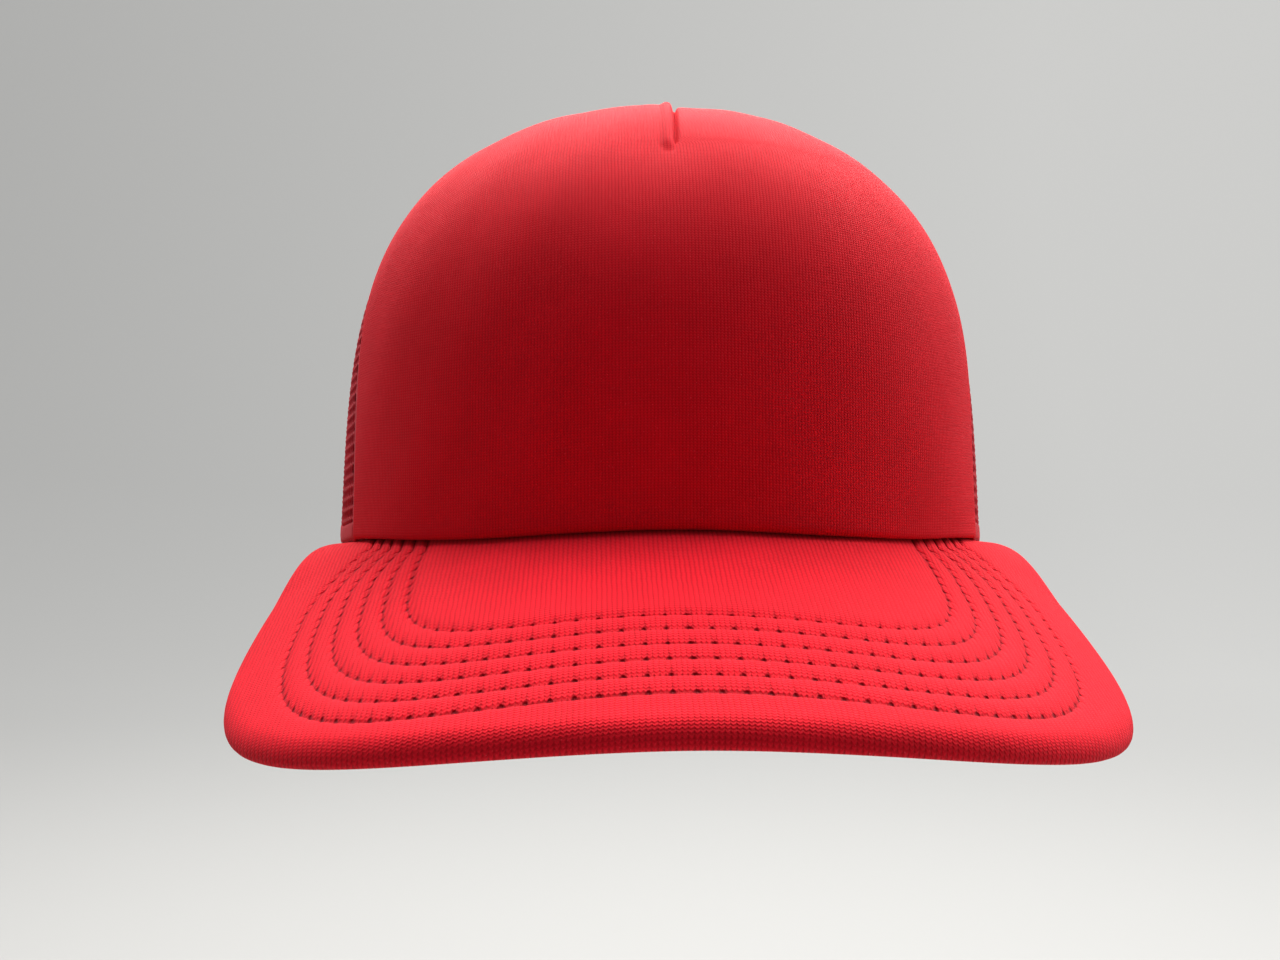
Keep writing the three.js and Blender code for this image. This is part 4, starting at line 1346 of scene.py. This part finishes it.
def strap_depth(x, outer):
    inner = np.full_like(x, STRAP_INNER_DEPTH)
    if not outer:
        return inner
    step = smoothstep(-x, STEP_END, HINGE_X - GAP)
    return STRAP_OUTER_DEPTH + (STRAP_INNER_DEPTH - STRAP_OUTER_DEPTH) * step


def make_strap(name, tip, tab, side, holes, nodes, outer):
    solid = flat_plate(strap_outline(tip, tab, side), holes, 0.55, 0.22)
    mesh = bpy.data.meshes.new(name)
    solid.to_mesh(mesh)
    solid.free()
    flat = np.empty(len(mesh.vertices) * 3)
    mesh.vertices.foreach_get("co", flat)
    flat = flat.reshape(-1, 3)
    edge = np.minimum(np.abs(flat[:, 1] - STRAP_BOTTOM), np.abs(flat[:, 1] - STRAP_TOP))
    bead = 1 + 0.22 * bell(edge - 0.9, 0.7)
    depth = strap_depth(flat[:, 0], outer) - flat[:, 2] * bead
    bent = back_point(flat[:, 0], flat[:, 1], depth)
    mesh.vertices.foreach_set("co", (bent * MM).ravel())
    mesh.update()
    work = bmesh.new()
    work.from_mesh(mesh)
    if not outer:
        add_pegs(work)
    bmesh.ops.recalc_face_normals(work, faces=work.faces)
    work.to_mesh(mesh)
    work.free()
    mesh.shade_smooth()
    mesh.materials.clear()
    mesh.materials.append(STRAP_PLASTIC)
    piece = add_object(name, mesh)
    place(piece, STRAP_PLASTIC, nodes)
    start, end = (back_point(side * (HINGE_X + shift), STRAP_MIDDLE, STRAP_INNER_DEPTH) * MM
                  for shift in (0.9, -1.6))
    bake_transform(piece)


def add_pegs(work):
    """Studs on the outer face: a filleted neck and a slightly fuller, domed head."""
    profile = [(2.3, -0.3), (2.25, 0.0), (1.75, 0.3), (1.62, 0.8), (1.7, 1.2), (1.85, 1.55),
               (1.8, 1.85), (1.5, 2.08), (0.9, 2.2), (0.0, 2.24)]
    segments = 24
    for k in range(PEG_COUNT):
        x = np.array(FIRST_PEG + k * PEG_PITCH, float)
        base = back_point(x, STRAP_MIDDLE, STRAP_INNER_DEPTH - 0.5)
        out = back_point(x, STRAP_MIDDLE, STRAP_INNER_DEPTH - 1.5) - base
        ahead = unit(back_point(x + 1.0, STRAP_MIDDLE, STRAP_INNER_DEPTH - 0.5) - base)
        out = unit(out - ahead * np.dot(out, ahead))
        up = np.cross(ahead, out)
        rings = []
        for radius, height in profile[:-1]:
            ring = []
            for j in range(segments):
                angle = j / segments * TAU
                spot = base + out * height + (ahead * math.cos(angle) + up * math.sin(angle)) * radius
                ring.append(work.verts.new(spot * MM))
            rings.append(ring)
        top = work.verts.new((base + out * profile[-1][1]) * MM)
        for low, high in zip(rings, rings[1:]):
            for j in range(segments):
                n = (j + 1) % segments
                work.faces.new((low[j], low[n], high[n], high[j]))
        for j in range(segments):
            work.faces.new((rings[-1][j], rings[-1][(j + 1) % segments], top))
        work.faces.new(rings[0][::-1])


def circle(x, z, radius, count=28):
    angles = [k / count * TAU for k in range(count)]
    return [(x + radius * math.cos(a), z + radius * math.sin(a)) for a in angles]


def make_straps():
    holes = [circle(FIRST_HOLE + k * PEG_PITCH, STRAP_MIDDLE, HOLE_RADIUS) for k in range(PEG_COUNT)]
    make_strap("snap_strap_pegs", PEG_TIP, TAB_END, 1, [], ["peg_strap", "peg_strap_tab"], False)
    make_strap("snap_strap_holes", HOLE_TIP, -TAB_END, -1, holes, ["hole_strap", "hole_strap_tab"], True)
    for label, side in (("left", 1), ("right", -1)):
        corners = np.array([(46.5, 4), (46.5, 19), (51, 19), (51, 4), (46.5, 4)])
        box = np.concatenate([np.linspace(a, b, 30)[:-1] for a, b in zip(corners, corners[1:])])
        x, z = box[:, 0] * side, box[:, 1]
        path = back_point(x, z, -0.75)
        outward = back_point(x, z, -1.75) - path
        thread_piece(f"strap_stitches_{label}", [stitch_tube(path, outward, 2.6, 0.28, 0.45)],
                     stands_for=[f"strap_tack_{label}"])


# ---- Button ------------------------------------------------------------------

def crown_height_at(turn, radius):
    """The crown's height close to its apex at a distance from the Z axis."""
    reach = radius / np.hypot(*oval_point(turn)) / (1 - WALL_TAPER)
    lift = (1 - reach ** shape_power(ROOF_POWER, turn)) ** (1 / shape_power(WALL_POWER, turn))
    return crown_point(turn, lift, 0.0)[..., 2]


def make_button():
    """The covered button: cloth drawn over a domed shell, gathered in small pleats at its rim."""
    segments, steps = 120, 30
    angle = (np.arange(segments) / segments * TAU)[:, None]
    rise = np.linspace(math.pi / 2 * 0.999, 0, steps)[None, :]
    pleat = 0.16 * np.cos(rise) ** 3 * np.sin(angle * 13 + 0.6 * np.sin(angle * 3))
    radius = (BUTTON_RADIUS + pleat) * np.cos(rise) ** 0.9
    height = np.broadcast_to(BUTTON_SEAT + BUTTON_HEIGHT * np.sin(rise), radius.shape)
    turn = np.arctan2(np.cos(angle), -np.sin(angle))
    foot = crown_height_at(turn, 7.0) - 0.2
    rings = [np.stack([np.cos(angle) * radius, np.sin(angle) * radius, height], -1)]
    for ring_radius, level in ((7.35, 0.55), (7.0, 0.0), (6.5, 0.1), (6.2, 0.6)):
        z = foot + (BUTTON_SEAT - foot) * level
        rings.append(np.stack([np.cos(angle) * ring_radius, np.sin(angle) * ring_radius, z], -1))
    inner_rise = np.linspace(0, math.pi / 2 * 0.999, 10)[None, :]
    inner_radius = 6.9 * np.cos(inner_rise) ** 0.9
    inner_height = BUTTON_SEAT + (BUTTON_HEIGHT - 0.5) * np.sin(inner_rise)
    rings.append(np.stack([np.cos(angle) * inner_radius, np.sin(angle) * inner_radius,
                           np.broadcast_to(inner_height, (segments, 10))], -1))
    grid = np.concatenate(rings, 1)
    uv = np.stack([grid[..., 0], grid[..., 1] + 0.6 * (grid[..., 2] - BUTTON_SEAT)], -1)
    quads = grid_quads(index_grid(*grid.shape[:2]), True)
    make_piece("button_cover_cloth", grid.reshape(-1, 3), quads, FACE_KNIT,
               {"mm": uv.reshape(-1, 2)}, stands_for=["button_cover"])


def finish_cad_nodes():
    """The hard hidden parts keep their CAD shape and take a finished material."""
    for name, material in (("button_shell", STEEL), ("button_tack", STEEL)):
        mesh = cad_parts[name].data
        mesh.materials.clear()
        mesh.materials.append(material)


make_camera()
make_lights()
make_stage()
make_front_panel()
make_nets()
for label, side in (("left", 1), ("right", -1)):
    make_tape(f"front_seam_tape_{label}", FRONT_SEAM, 0.02, 0.94, side)
    make_tape(f"side_seam_tape_{label}", SIDE_SEAM, 0.02, 0.83, side)
make_tape("centre_seam_tape", CENTRE_SEAM, 0.5, 0.94, 1)
make_dart_tape()
make_binding()
make_sweatband()
make_visor_cover()
make_visor_under()
make_visor_board()
make_visor_foam()
make_visor_rows()
make_straps()
make_button()
finish_cad_nodes()
